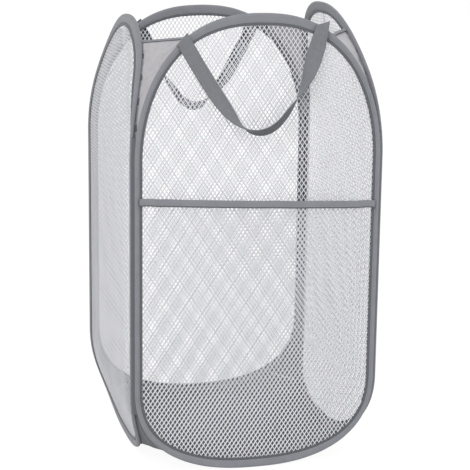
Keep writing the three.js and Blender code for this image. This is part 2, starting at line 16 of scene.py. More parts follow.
import bmesh
import bpy
from mathutils import Matrix, Vector, noise
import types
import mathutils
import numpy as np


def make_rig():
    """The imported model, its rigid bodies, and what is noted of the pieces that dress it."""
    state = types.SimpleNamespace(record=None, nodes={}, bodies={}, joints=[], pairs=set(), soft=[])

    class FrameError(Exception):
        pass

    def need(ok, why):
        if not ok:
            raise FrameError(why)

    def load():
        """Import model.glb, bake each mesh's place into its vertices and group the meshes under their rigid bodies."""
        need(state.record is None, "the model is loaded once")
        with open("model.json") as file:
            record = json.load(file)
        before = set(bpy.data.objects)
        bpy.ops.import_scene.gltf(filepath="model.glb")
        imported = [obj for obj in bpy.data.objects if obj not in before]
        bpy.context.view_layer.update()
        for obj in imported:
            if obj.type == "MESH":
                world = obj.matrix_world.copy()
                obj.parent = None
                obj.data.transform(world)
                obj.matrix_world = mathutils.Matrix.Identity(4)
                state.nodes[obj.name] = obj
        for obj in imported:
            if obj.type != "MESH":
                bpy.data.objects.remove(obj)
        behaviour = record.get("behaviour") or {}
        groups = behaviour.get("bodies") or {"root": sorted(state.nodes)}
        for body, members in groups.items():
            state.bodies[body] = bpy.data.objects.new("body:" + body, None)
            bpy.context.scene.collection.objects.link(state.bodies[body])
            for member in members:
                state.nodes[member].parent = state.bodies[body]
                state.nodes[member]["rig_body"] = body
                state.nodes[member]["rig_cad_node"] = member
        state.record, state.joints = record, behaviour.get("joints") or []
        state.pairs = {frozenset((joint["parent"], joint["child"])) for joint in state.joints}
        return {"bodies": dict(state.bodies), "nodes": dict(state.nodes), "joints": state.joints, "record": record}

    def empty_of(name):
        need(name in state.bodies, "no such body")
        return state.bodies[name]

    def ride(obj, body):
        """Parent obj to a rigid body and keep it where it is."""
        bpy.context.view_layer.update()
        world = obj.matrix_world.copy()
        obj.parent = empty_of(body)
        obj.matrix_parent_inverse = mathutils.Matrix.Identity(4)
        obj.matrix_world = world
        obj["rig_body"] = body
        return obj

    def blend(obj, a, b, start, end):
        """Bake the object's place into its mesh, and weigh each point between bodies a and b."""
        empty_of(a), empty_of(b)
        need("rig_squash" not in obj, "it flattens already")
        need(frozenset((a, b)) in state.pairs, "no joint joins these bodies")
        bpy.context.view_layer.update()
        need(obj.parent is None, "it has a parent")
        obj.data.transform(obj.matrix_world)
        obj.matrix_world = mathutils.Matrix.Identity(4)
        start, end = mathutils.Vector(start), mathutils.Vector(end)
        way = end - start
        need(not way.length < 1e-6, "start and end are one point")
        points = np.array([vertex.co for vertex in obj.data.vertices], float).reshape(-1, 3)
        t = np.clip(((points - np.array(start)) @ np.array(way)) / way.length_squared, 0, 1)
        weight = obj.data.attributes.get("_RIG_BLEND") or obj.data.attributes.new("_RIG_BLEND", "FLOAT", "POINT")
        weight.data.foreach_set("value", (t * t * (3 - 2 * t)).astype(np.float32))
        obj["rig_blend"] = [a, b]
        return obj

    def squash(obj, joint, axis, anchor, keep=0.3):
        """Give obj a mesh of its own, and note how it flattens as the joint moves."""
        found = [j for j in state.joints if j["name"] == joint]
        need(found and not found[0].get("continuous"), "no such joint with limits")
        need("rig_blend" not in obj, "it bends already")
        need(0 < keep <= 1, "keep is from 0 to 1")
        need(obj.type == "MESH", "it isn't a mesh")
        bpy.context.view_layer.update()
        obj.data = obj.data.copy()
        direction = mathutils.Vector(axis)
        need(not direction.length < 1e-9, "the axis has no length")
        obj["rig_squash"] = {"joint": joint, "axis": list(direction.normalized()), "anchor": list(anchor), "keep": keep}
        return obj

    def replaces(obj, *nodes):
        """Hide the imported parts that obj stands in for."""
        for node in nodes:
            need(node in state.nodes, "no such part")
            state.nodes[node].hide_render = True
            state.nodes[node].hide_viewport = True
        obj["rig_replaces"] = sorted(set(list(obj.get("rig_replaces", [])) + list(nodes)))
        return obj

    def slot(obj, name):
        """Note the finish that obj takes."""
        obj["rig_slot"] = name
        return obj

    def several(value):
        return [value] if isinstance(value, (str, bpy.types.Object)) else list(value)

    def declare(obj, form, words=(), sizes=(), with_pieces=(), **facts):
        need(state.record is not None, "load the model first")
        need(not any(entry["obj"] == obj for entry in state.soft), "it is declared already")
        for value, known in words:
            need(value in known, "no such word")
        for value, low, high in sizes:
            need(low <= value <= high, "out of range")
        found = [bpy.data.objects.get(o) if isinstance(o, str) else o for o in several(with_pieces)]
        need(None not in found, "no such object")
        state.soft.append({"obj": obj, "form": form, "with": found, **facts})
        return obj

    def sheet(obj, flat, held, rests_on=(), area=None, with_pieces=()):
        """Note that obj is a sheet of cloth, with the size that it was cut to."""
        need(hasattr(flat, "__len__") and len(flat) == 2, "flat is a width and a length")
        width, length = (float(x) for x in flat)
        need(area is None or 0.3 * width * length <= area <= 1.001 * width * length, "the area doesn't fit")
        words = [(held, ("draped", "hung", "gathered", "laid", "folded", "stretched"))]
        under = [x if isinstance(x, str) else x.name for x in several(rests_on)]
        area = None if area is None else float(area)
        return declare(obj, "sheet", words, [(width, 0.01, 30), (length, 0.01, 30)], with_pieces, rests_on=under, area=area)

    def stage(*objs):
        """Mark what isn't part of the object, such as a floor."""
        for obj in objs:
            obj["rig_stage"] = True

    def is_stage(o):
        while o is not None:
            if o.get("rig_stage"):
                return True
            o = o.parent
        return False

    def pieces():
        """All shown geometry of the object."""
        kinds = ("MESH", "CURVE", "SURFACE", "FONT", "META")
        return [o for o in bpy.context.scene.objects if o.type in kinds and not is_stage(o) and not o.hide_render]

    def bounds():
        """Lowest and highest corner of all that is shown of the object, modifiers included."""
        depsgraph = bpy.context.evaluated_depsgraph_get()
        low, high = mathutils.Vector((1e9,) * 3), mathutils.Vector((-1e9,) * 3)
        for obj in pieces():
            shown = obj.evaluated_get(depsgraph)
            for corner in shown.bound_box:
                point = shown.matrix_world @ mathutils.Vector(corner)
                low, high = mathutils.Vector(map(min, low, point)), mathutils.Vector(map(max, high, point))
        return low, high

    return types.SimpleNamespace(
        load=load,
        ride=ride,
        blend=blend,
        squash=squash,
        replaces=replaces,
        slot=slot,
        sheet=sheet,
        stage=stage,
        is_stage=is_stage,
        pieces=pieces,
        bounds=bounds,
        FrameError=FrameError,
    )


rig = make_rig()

log = logging.getLogger("laundry_hamper")

MM = 0.001
TAPE_WIDTH = 0.029  # the tape as it is cut, before it is folded
WHITE = (1.0, 1.0, 1.0, 1.0)
MIDDLE_HEIGHT = 0.3  # about half way up the hamper
CREASE_OUT = -0.0026  # plane that pressed cloth lies on, out of a panel's middle plane
FOLD_KEEP = 0.05  # share of its depth that pressed cloth keeps
SAME_PLACE = 0.00002  # points nearer than this are joined
WAVE_SCALE = 0.314  # of a wave texture with one band a millimetre
WAVE_DETAIL = 2.0
SIZE_FILE = "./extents.json"
PlaceOnSheet = Callable[[float, float], Vector]


# Small tools


def smooth_step(low: float, high: float, value: float) -> float:
    """Rises smoothly from 0 at low to 1 at high."""
    share = min(max((value - low) / (high - low), 0.0), 1.0)
    return share * share * (3.0 - 2.0 * share)


def mix(a: float, b: float, share: float) -> float:
    """The value that lies a share of the way from a to b."""
    return a + (b - a) * share


def ripple(x: float, y: float, z: float = 0.0) -> float:
    """Smooth noise between about -1 and 1, the same in every run."""
    return noise.noise(Vector((x, y, z)))


def crown_at(share: float) -> float:
    """A bow that is 0 at both ends, at shares 0 and 1, and 1 in the middle."""
    return 4.0 * share * (1.0 - share)


def linear_colour(code: str) -> tuple[float, float, float, float]:
    """Turns an sRGB hex colour such as "#a0b0c0" to linear values."""
    values = [int(code[i : i + 2], 16) / 255.0 for i in (1, 3, 5)]
    linear = [v / 12.92 if v <= 0.04045 else ((v + 0.055) / 1.055) ** 2.4 for v in values]
    return (*linear, 1.0)


def add_node(tree: bpy.types.NodeTree, kind: str, inputs: dict | None = None, **settings) -> bpy.types.Node:
    """Adds a node with its settings and links.

    Args:
        tree: The node tree of a material or of the world.
        kind: The node's type name.
        inputs: Values for its sockets by name or number. An output socket is linked.
        settings: Properties of the node itself.

    Returns:
        The new node.
    """
    new = tree.nodes.new(kind)
    for name, value in settings.items():
        setattr(new, name, value)
    for name, value in (inputs or {}).items():
        if isinstance(value, bpy.types.NodeSocket):
            tree.links.new(value, new.inputs[name])
        else:
            new.inputs[name].default_value = value
    return new


def piece_from(
    name: str, shape: bmesh.types.BMesh, materials: list[bpy.types.Material], turn_out: bool = True
) -> bpy.types.Object:
    """Makes a smooth object from a bmesh and links it to the scene.

    Args:
        name: The piece's name.
        shape: Its mesh, which is freed.
        materials: What its faces are made of.
        turn_out: Whether the normals are worked out again.

    Returns:
        The object, at the origin.
    """
    if turn_out:
        bmesh.ops.recalc_face_normals(shape, faces=shape.faces)
    for face in shape.faces:
        face.smooth = True
    mesh = bpy.data.meshes.new(name)
    shape.to_mesh(mesh)
    shape.free()
    for material in materials:
        mesh.materials.append(material)
    piece = bpy.data.objects.new(name, mesh)
    bpy.context.scene.collection.objects.link(piece)
    return piece


def sheet_grid(
    along: int, across: int, length: float, width: float, place: PlaceOnSheet, closed: bool = False
) -> bmesh.types.BMesh:
    """A grid of faces laid out along and across a sheet of cloth, with its UV map in metres.

    Args:
        along: Faces along the sheet.
        across: Faces across it.
        length: Real length, for the UV map.
        width: Real width, for the UV map.
        place: Where a point lies, from its shares along and across.
        closed: Whether the two ends are joined.

    Returns:
        The mesh.
    """
    grid = bmesh.new()
    uv = grid.loops.layers.uv.new("UVMap")
    bmesh.ops.create_grid(grid, x_segments=along, y_segments=across, size=0.5)
    for face in grid.faces:
        for loop in face.loops:
            flat = loop.vert.co
            loop[uv].uv = ((flat.x + 0.5) * length, (flat.y + 0.5) * width)
    for vert in grid.verts:
        vert.co = place(vert.co.x + 0.5, vert.co.y + 0.5)
    if closed:
        bmesh.ops.remove_doubles(grid, verts=grid.verts, dist=SAME_PLACE)
    return grid


def thicken(piece: bpy.types.Object, thickness: float, back_material: bool = False) -> None:
    """Gives a sheet its thickness, half to each side, and applies it.

    Args:
        piece: The sheet.
        thickness: Distance between its two faces.
        back_material: Whether the back face takes the second material.
    """
    solid = piece.modifiers.new("thickness", "SOLIDIFY")
    solid.thickness = thickness
    solid.offset = 0.0
    solid.material_offset = 1 if back_material else 0
    graph = bpy.context.evaluated_depsgraph_get()
    done = bpy.data.meshes.new_from_object(piece.evaluated_get(graph))
    piece.modifiers.clear()
    flat = piece.data
    piece.data = done
    bpy.data.meshes.remove(flat)
    done.name = piece.name


def cloth_area(piece: bpy.types.Object) -> float:
    """Area of a thin piece of cloth, which is half of its surface."""
    return sum(face.area for face in piece.data.polygons) / 2.0


# Finishes


class Recipe:
    """A material in the making, with the few kinds of node that the finishes share."""

    def __init__(self, name: str, shader_values: dict) -> None:
        """Starts the material.

        Args:
            name: The material's name.
            shader_values: Values for the main shader, by the names of its sockets.
        """
        self.material = bpy.data.materials.new(name)
        self.material.use_nodes = True
        self.tree = self.material.node_tree
        self.shader = self.tree.nodes["Principled BSDF"]
        for socket, value in shader_values.items():
            self.shader.inputs[socket].default_value = value
        self.place = add_node(self.tree, "ShaderNodeTexCoord")

    def result_of(
        self, operation: str, *values: float | bpy.types.NodeSocket, clamp: bool = False
    ) -> bpy.types.NodeSocket:
        """The result of a math node."""
        inputs = dict(enumerate(values))
        return add_node(self.tree, "ShaderNodeMath", inputs, operation=operation, use_clamp=clamp).outputs[0]

    def weave(self, waves: tuple[tuple[str, float, float, float], ...]) -> bpy.types.NodeSocket:
        """Crossing threads on the UV map.

        Args:
            waves: Direction, pitch in millimetres, distortion and detail of each of the two sets of threads.
        """
        settings = {"Vector": self.place.outputs["UV"], "Scale": (1.0 / MM,) * 3}
        flat = add_node(self.tree, "ShaderNodeMapping", settings).outputs["Vector"]
        threads = [
            add_node(
                self.tree,
                "ShaderNodeTexWave",
                {"Vector": flat, "Scale": WAVE_SCALE / pitch, "Distortion": distortion, "Detail": detail},
                wave_type="BANDS",
                bands_direction=direction,
            ).outputs["Fac"]
            for direction, pitch, distortion, detail in waves
        ]
        return self.result_of("MULTIPLY", *threads)

    def noise(self, scale: float, detail: float, distortion: float = 0.0) -> bpy.types.NodeSocket:
        """Noise that is fixed to the object, with a scale in waves a metre."""
        settings = {"Vector": self.place.outputs["Object"], "Scale": scale, "Detail": detail}
        settings["Distortion"] = distortion
        return add_node(self.tree, "ShaderNodeTexNoise", settings).outputs["Fac"]

    def ranged(self, value: bpy.types.NodeSocket, limits: dict) -> bpy.types.NodeSocket:
        """A value carried over from one range to another."""
        return add_node(self.tree, "ShaderNodeMapRange", {"Value": value, **limits}).outputs["Result"]

    def mixed(
        self, share: bpy.types.NodeSocket, first: bpy.types.NodeSocket | str, second: str
    ) -> bpy.types.NodeSocket:
        """A mix of a colour, given as a socket or an sRGB hex code, with a second one."""
        start = linear_colour(first) if isinstance(first, str) else first
        return add_node(
            self.tree,
            "ShaderNodeMix",
            {0: share, "A": start, "B": linear_colour(second)},
            data_type="RGBA",
        ).outputs["Result"]

    def bump(
        self,
        height: bpy.types.NodeSocket,
        strength: float,
        depth: float,
        over: bpy.types.NodeSocket | None = None,
    ) -> bpy.types.NodeSocket:
        """Relief of a depth, on top of another relief if one is given."""
        settings = {"Height": height, "Strength": strength, "Distance": depth}
        if over is not None:
            settings["Normal"] = over
        return add_node(self.tree, "ShaderNodeBump", settings).outputs["Normal"]

    def finish(self, **links: bpy.types.NodeSocket) -> bpy.types.Material:
        """Links the results to the shader, by the names of its sockets with _ for a space."""
        for name, result in links.items():
            self.tree.links.new(result, self.shader.inputs[name.replace("_", " ")])
        return self.material


@dataclass(frozen=True)
class WovenTape:
    """Woven polyester tape: matt, with fine ribs across it, painted shade by its inner edges and a painted highlight on
    its stitch row.
    """

    name: str = "woven_polyester_tape"
    colour: str = "#93949a"
    dark: str = "#7c7d83"
    # The next colour is painted shade for the band from each inner edge to the stitching.
    painted_shade_band: str = "#56575c"
    # The next colour is a painted highlight along the stitch row.
    line: str = "#a2a3a9"
    rib_mm: float = 1.1

    def build(self) -> bpy.types.Material:
        """Makes the material. Its ribs follow the UV map, which is in metres."""
        recipe = Recipe(
            self.name,
            {"Roughness": 0.85, "Sheen Weight": 0.25, "Sheen Roughness": 0.5, "Specular IOR Level": 0.25},
        )
        weave = recipe.weave((("X", self.rib_mm, 0.6, 1.0), ("Y", self.rib_mm * 0.6, 0.8, WAVE_DETAIL)))
        mottle = recipe.result_of("MULTIPLY_ADD", recipe.noise(60.0, 4.0), 0.75, 0.12)
        shade = recipe.result_of("MULTIPLY_ADD", weave, -0.25, mottle, clamp=True)
        colour = recipe.mixed(shade, self.colour, self.dark)
        flat = add_node(recipe.tree, "ShaderNodeSeparateXYZ", {"Vector": recipe.place.outputs["UV"]})
        edge = recipe.result_of("PINGPONG", flat.outputs["Y"], TAPE_WIDTH / 2.0)
        # Painted shade: the band from each inner edge to the stitching is darkened.
        painted_shade_band = recipe.ranged(edge, {"From Min": 0.0036, "From Max": 0.0044, "To Min": 0.8, "To Max": 0.0})
        with_painted_shade = recipe.mixed(painted_shade_band, colour, self.painted_shade_band)
        # Painted highlight: a lighter line along the stitch row.
        line = recipe.result_of("COMPARE", edge, 0.0052, 0.0007)
        with_painted_highlight = recipe.mixed(recipe.result_of("MULTIPLY", line, 0.55), with_painted_shade, self.line)
        return recipe.finish(Base_Color=with_painted_highlight, Normal=recipe.bump(weave, 0.5, 0.2 * MM))


@dataclass(frozen=True)
class PlainCloth:
    """Cloth with a plain weave, dull or with the sheen of thin nylon, and fine creases whose relief also darkens the
    colour as painted shade.
    """

    name: str
    colour: str
    dark: str
    thread_mm: float
    roughness: float
    sheen: float = 0.2
    crease_mm: float = 12.0
    crease_depth_mm: float = 0.3

    def build(self) -> bpy.types.Material:
        """Makes the material. The weave follows the UV map and the creases the piece itself."""
        recipe = Recipe(
            self.name, {"Roughness": self.roughness, "Sheen Weight": self.sheen, "Specular IOR Level": 0.35}
        )
        weave = recipe.weave(tuple((direction, self.thread_mm, 0.5, WAVE_DETAIL) for direction in "XY"))
        creases = recipe.noise(1.0 / MM / self.crease_mm, 3.0, 0.8)
        # Painted shade: the colour darkens with the crease relief, on top of the weave's pattern.
        shade = recipe.result_of("MULTIPLY_ADD", weave, -0.3, creases, clamp=True)
        fine = recipe.bump(weave, 0.4, 0.15 * MM)
        return recipe.finish(
            Base_Color=recipe.mixed(shade, self.colour, self.dark),
            Normal=recipe.bump(creases, 0.8, self.crease_depth_mm * MM, fine),
        )


@dataclass(frozen=True)
class KnittedNet:
    """Warp knitted polyester net: white, matt, with the small loops of the knit."""

    name: str = "warp_knitted_polyester_net"
    colour: str = "#e9e9ed"
    dark: str = "#d3d4da"
    loop_mm: float = 0.9
    glow: float = 0.03

    def build(self) -> bpy.types.Material:
        """Makes the material. A faint glow stands for the light that passes through the yarn."""
        recipe = Recipe(
            self.name,
            {
                "Roughness": 0.75,
                "Sheen Weight": 0.2,
                "Specular IOR Level": 0.3,
                "Emission Color": linear_colour(self.colour),
                "Emission Strength": self.glow,
            },
        )
        settings = {"Vector": recipe.place.outputs["Object"], "Scale": 1.0 / MM / self.loop_mm}
        loops = add_node(recipe.tree, "ShaderNodeTexVoronoi", settings).outputs["Distance"]
        shade = recipe.result_of("MULTIPLY", loops, 0.9, clamp=True)
        return recipe.finish(
            Base_Color=recipe.mixed(shade, self.colour, self.dark), Normal=recipe.bump(loops, 0.5, 0.2 * MM)
        )


@dataclass(frozen=True)
class Steel:
    """Steel with the marks of how it was made: drawn lines on wire, dents on a crimped sleeve."""

    name: str
    colour: str
    roughness: float
    mark_mm: float
    mark_depth_mm: float

    def build(self) -> bpy.types.Material:
        """Makes the material."""
        recipe = Recipe(self.name, {"Metallic": 1.0, "Base Color": linear_colour(self.colour)})
        marks = recipe.noise(1.0 / MM / self.mark_mm, 3.0)
        return recipe.finish(
            Roughness=recipe.ranged(marks, {"To Min": self.roughness - 0.1, "To Max": self.roughness + 0.1}),
            Normal=recipe.bump(marks, 0.5, self.mark_depth_mm * MM),
        )


class Finishes:
    """Every material of the hamper."""

    def __init__(self) -> None:
        """Builds the materials."""
        self.tape = WovenTape().build()
        # Each plain cloth's dark colour is reached through its weave and, as painted crease shade, through its creases.
        self.thread = PlainCloth("polyester_thread", "#8b8c91", "#77787d", 0.4, 0.6, crease_mm=1.0).build()
        self.net = KnittedNet().build()
        self.floor_cloth = PlainCloth("oxford_cloth", "#6e7075", "#5d5f64", 0.9, 0.85).build()
        self.nylon = PlainCloth(
            "thin_nylon", "#c2c0c3", "#a3a1a5", 0.7, 0.42, sheen=0.3, crease_mm=9.0, crease_depth_mm=0.5
        ).build()
        self.webbing = PlainCloth("twill_webbing", "#828388", "#6f7075", 1.1, 0.8, crease_mm=5.0).build()
        # A darker copy of the webbing for the strap's back face: painted shade where the twisted strap turns that face
        # down.
        self.webbing_back = PlainCloth(
            "twill_webbing_back", "#5b5d62", "#4c4e53", 1.1, 0.85, crease_mm=5.0
        ).build()
        self.wire = Steel("sprung_steel_wire", "#9a9da2", 0.35, 0.4, 0.02).build()
        self.sleeve = Steel("crimped_steel_sleeve", "#8b8d90", 0.45, 3.0, 0.2).build()


# Shape of the panels


@dataclass(frozen=True)
class Station:
    """A place on the outer edge of a hoop."""

    x: float
    z: float
    inward_x: float
    inward_z: float
    along: float

    def inset(self, depth: float) -> tuple[float, float]:
        """The point at a depth inside the edge."""
        return self.x + self.inward_x * depth, self.z + self.inward_z * depth


@dataclass(frozen=True)
class Hoop:
    """Outer edge of a sprung hoop: straight sides between two rounded arches."""

    half_width: float
    height: float
    top_base: float = 0.418
    bottom_arch: float = 0.119
    top_across: float = 2.37
    top_up: float = 2.03
    bottom_across: float = 2.41
    bottom_up: float = 2.32

    @property
    def top_arch(self) -> float:
        """Height of the upper arch, above the straight sides."""
        return self.height - self.top_base

    def arch_point(self, top: bool, angle: float) -> tuple[float, float]:
        """A point on an arch, for an angle from 0 at the +x side to pi at the other."""
        across, up = (self.top_across, self.top_up) if top else (self.bottom_across, self.bottom_up)
        cosine = math.cos(angle)
        x = self.half_width * math.copysign(abs(cosine) ** (2.0 / across), cosine)
        rise = max(math.sin(angle), 0.0) ** (2.0 / up)
        if top:
            return x, self.top_base + self.top_arch * rise
        return x, self.bottom_arch * (1.0 - rise)

    def arch_inset(self, climb: float, across: float, up: float) -> float:
        """How far an arch has curved in from the side, at a share of its height."""
        climb = min(max(climb, 0.0), 1.0)
        return self.half_width * (1.0 - (1.0 - climb**up) ** (1.0 / across))

    def top_inset(self, z: float) -> float:
        """How far the upper arch has curved in at a height. It is 0 below the arch."""
        return self.arch_inset((z - self.top_base) / self.top_arch, self.top_across, self.top_up)

    def foot_inset(self, z: float) -> float:
        """How far the lower arch has curved in at a height. It is 0 above the arch."""
        climb = (self.bottom_arch - z) / self.bottom_arch
        return self.arch_inset(climb, self.bottom_across, self.bottom_up)

    def sewn_point(self, top: bool, angle: float, depth: float) -> tuple[float, float]:
        """The point at a depth inside the hoop's edge, near an angle of one of its arches."""
        step = 0.002
        before = self.arch_point(top, max(angle - step, 0.0))
        after = self.arch_point(top, angle + step)
        run, rise = after[0] - before[0], after[1] - before[1]
        length = math.hypot(run, rise)
        turn = 1.0 if top else -1.0
        here = self.arch_point(top, angle)
        return here[0] - turn * rise / length * depth, here[1] + turn * run / length * depth

    def stations(self, count: int) -> list[Station]:
        """Evenly spaced stations all round, anticlockwise from the middle of the -x side."""
        fine = 240
        low, high = self.bottom_arch, self.top_base
        middle = (low + high) / 2.0
        outline = [(-self.half_width, mix(middle, low, i / 40)) for i in range(40)]
        outline += [self.arch_point(False, math.pi - math.pi * i / fine) for i in range(fine)]
        outline += [(self.half_width, mix(low, high, i / 80)) for i in range(80)]
        outline += [self.arch_point(True, math.pi * i / fine) for i in range(fine)]
        outline += [(-self.half_width, mix(high, middle, i / 40)) for i in range(41)]
        lengths = [0.0]
        for here, there in zip(outline, outline[1:]):
            lengths.append(lengths[-1] + math.dist(here, there))
        total = lengths[-1]
        places = []
        at = 0
        for k in range(count):
            goal = total * k / count
            while lengths[at + 1] < goal:
                at += 1
            share = (goal - lengths[at]) / (lengths[at + 1] - lengths[at])
            here, there = outline[at], outline[at + 1]
            places.append((mix(here[0], there[0], share), mix(here[1], there[1], share)))
        found = []
        for k, (x, z) in enumerate(places):
            before, after = places[k - 1], places[(k + 1) % count]
            run, rise = after[0] - before[0], after[1] - before[1]
            length = math.hypot(run, rise)
            found.append(Station(x, z, -rise / length, run / length, total * k / count))
        return found

    def length(self) -> float:
        """Length round the outer edge."""
        ring = self.stations(400)
        return sum(math.dist((a.x, a.z), (b.x, b.z)) for a, b in zip(ring, ring[1:] + ring[:1]))

    def depth_inside(self, x: float, z: float) -> float:
        """About how far a point lies inside the edge. It is negative outside."""
        if z > self.top_base:
            across, up, reach, rise = self.top_across, self.top_up, self.top_arch, z - self.top_base
        elif z < self.bottom_arch:
            across, up, reach, rise = self.bottom_across, self.bottom_up, self.bottom_arch, self.bottom_arch - z
        else:
            return self.half_width - abs(x)
        share = max(abs(x) / self.half_width, 1e-6)
        climb = max(rise / reach, 1e-6)
        value = share**across + climb**up
        slope = math.hypot(
            across * share ** (across - 1.0) / self.half_width, up * climb ** (up - 1.0) / reach
        )
        return (1.0 - value) / slope

    def held_inside(self, x: float, z: float, depth: float) -> tuple[float, float]:
        """The point, or the nearest one that lies at least a depth inside the edge."""
        step = 0.0005
        for _ in range(4):
            short = depth - self.depth_inside(x, z)
            if short <= 0.0:
                break
            across = self.depth_inside(x + step, z) - self.depth_inside(x - step, z)
            up = self.depth_inside(x, z + step) - self.depth_inside(x, z - step)
            size = math.hypot(across, up)
            x += across / size * short
            z += up / size * short
        return x, z


class Side(Enum):
    """The four panels, with the quarter turns that bring the front one there."""

    FRONT = 0
    RIGHT = 1
    BACK = 2
    LEFT = 3


@dataclass(frozen=True)
class Panel:
    """One side of the hamper. In its own frame x runs along it and out is away from the laundry.

    A side hoop leans in at its top and its foot, and its cloth is twisted beside one shoulder and one
    straight side. An end is 1 for +x, -1 for -x and 0 where nothing is twisted.
    """

    side: Side
    hoop: Hoop
    distance: float
    top_lean: float = 0.0
    bottom_lean: float = 0.0
    shoulder_end: float = 0.0
    turned: float = 0.0
    side_end: float = 0.0
    side_turn: float = -0.27
    lean_share: float = 0.6

    @property
    def name(self) -> str:
        """The panel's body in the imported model."""
        return self.side.name.lower()

    @property
    def tape(self) -> str:
        """The name of the panel's binding."""
        return f"{self.name}_binding_tape"

    def lean(self, z: float) -> float:
        """How far a leaning hoop stands in from its upright plane at a height."""
        total = 0.0
        insets = ((self.hoop.top_inset(z), self.top_lean), (self.hoop.foot_inset(z), self.bottom_lean))
        for inset, limit in insets:
            if limit > 0.0:
                follows = self.lean_share * inset
                total += follows / math.hypot(1.0, follows / limit)
        return total

    def turned_out(self, x: float, z: float) -> float:
        """How far the cloth beside a side hoop's wire is twisted out, by the pull of its neighbour."""
        wire_depth, reach = 0.0026, 0.028
        top = self.hoop.height - 0.004
        twist = 0.0
        if x * self.shoulder_end > 0.0:
            twist += self.turned * smooth_step(0.455, 0.52, z) * (1.0 - smooth_step(0.572, top, z))
        if x * self.side_end > 0.0:
            twist += self.side_turn * smooth_step(0.05, 0.12, z) * (1.0 - smooth_step(0.40, 0.48, z))
        if twist == 0.0:
            return 0.0
        depth = self.hoop.depth_inside(x, z) - wire_depth
        return twist * depth * math.exp(-((max(depth, 0.0) / reach) ** 2))

    def place(self, x: float, z: float, out: float) -> Vector:
        """A point of the panel in the hamper's frame."""
        y = -self.distance - out - self.turned_out(x, z) + self.lean(z)
        return Vector(
            {
                Side.FRONT: (x, y, z),
                Side.RIGHT: (-y, x, z),
                Side.BACK: (-x, -y, z),
                Side.LEFT: (y, -x, z),
            }[self.side]
        )

    def outward(self) -> Vector:
        """The direction away from the laundry."""
        return self.place(0.0, MIDDLE_HEIGHT, 1.0) - self.place(0.0, MIDDLE_HEIGHT, 0.0)

    def flatten(self, piece: bpy.types.Object) -> None:
        """Lets a cloth that no joint holds ride on the panel and be pressed flat on it by the fold."""
        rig.ride(piece, self.name)
        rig.squash(
            piece,
            "left_fold",
            axis=tuple(self.outward()),
            anchor=tuple(self.place(0.0, MIDDLE_HEIGHT, CREASE_OUT)),
            keep=FOLD_KEEP,
        )


SPAN_X = 0.336  # between the middle planes of the side panels
SPAN_Y = 0.328  # between those of the front and the back
PANEL_END_GAP = 0.003  # from a hoop's side to the plane of the next panel
RIGHT_LEAN = {"top_lean": 0.040, "bottom_lean": 0.025}
LEFT_LEAN = {"top_lean": 0.030, "bottom_lean": 0.025}
RIGHT_TWIST = {"shoulder_end": -1.0, "turned": -0.45, "side_end": 1.0}
LEFT_TWIST = {"shoulder_end": 1.0, "turned": 0.48, "side_end": 1.0}
PANELS = {
    side: Panel(side, Hoop(span / 2.0 - PANEL_END_GAP, height), distance / 2.0, **shape)
    for side, span, height, distance, shape in (
        (Side.FRONT, SPAN_X, 0.608, SPAN_Y, {}),
        (Side.RIGHT, SPAN_Y, 0.612, SPAN_X, RIGHT_LEAN | RIGHT_TWIST),
        (Side.BACK, SPAN_X, 0.598, SPAN_Y, {}),
        (Side.LEFT, SPAN_Y, 0.596, SPAN_X, LEFT_LEAN | LEFT_TWIST),
    )
}


# Sub-assemblies


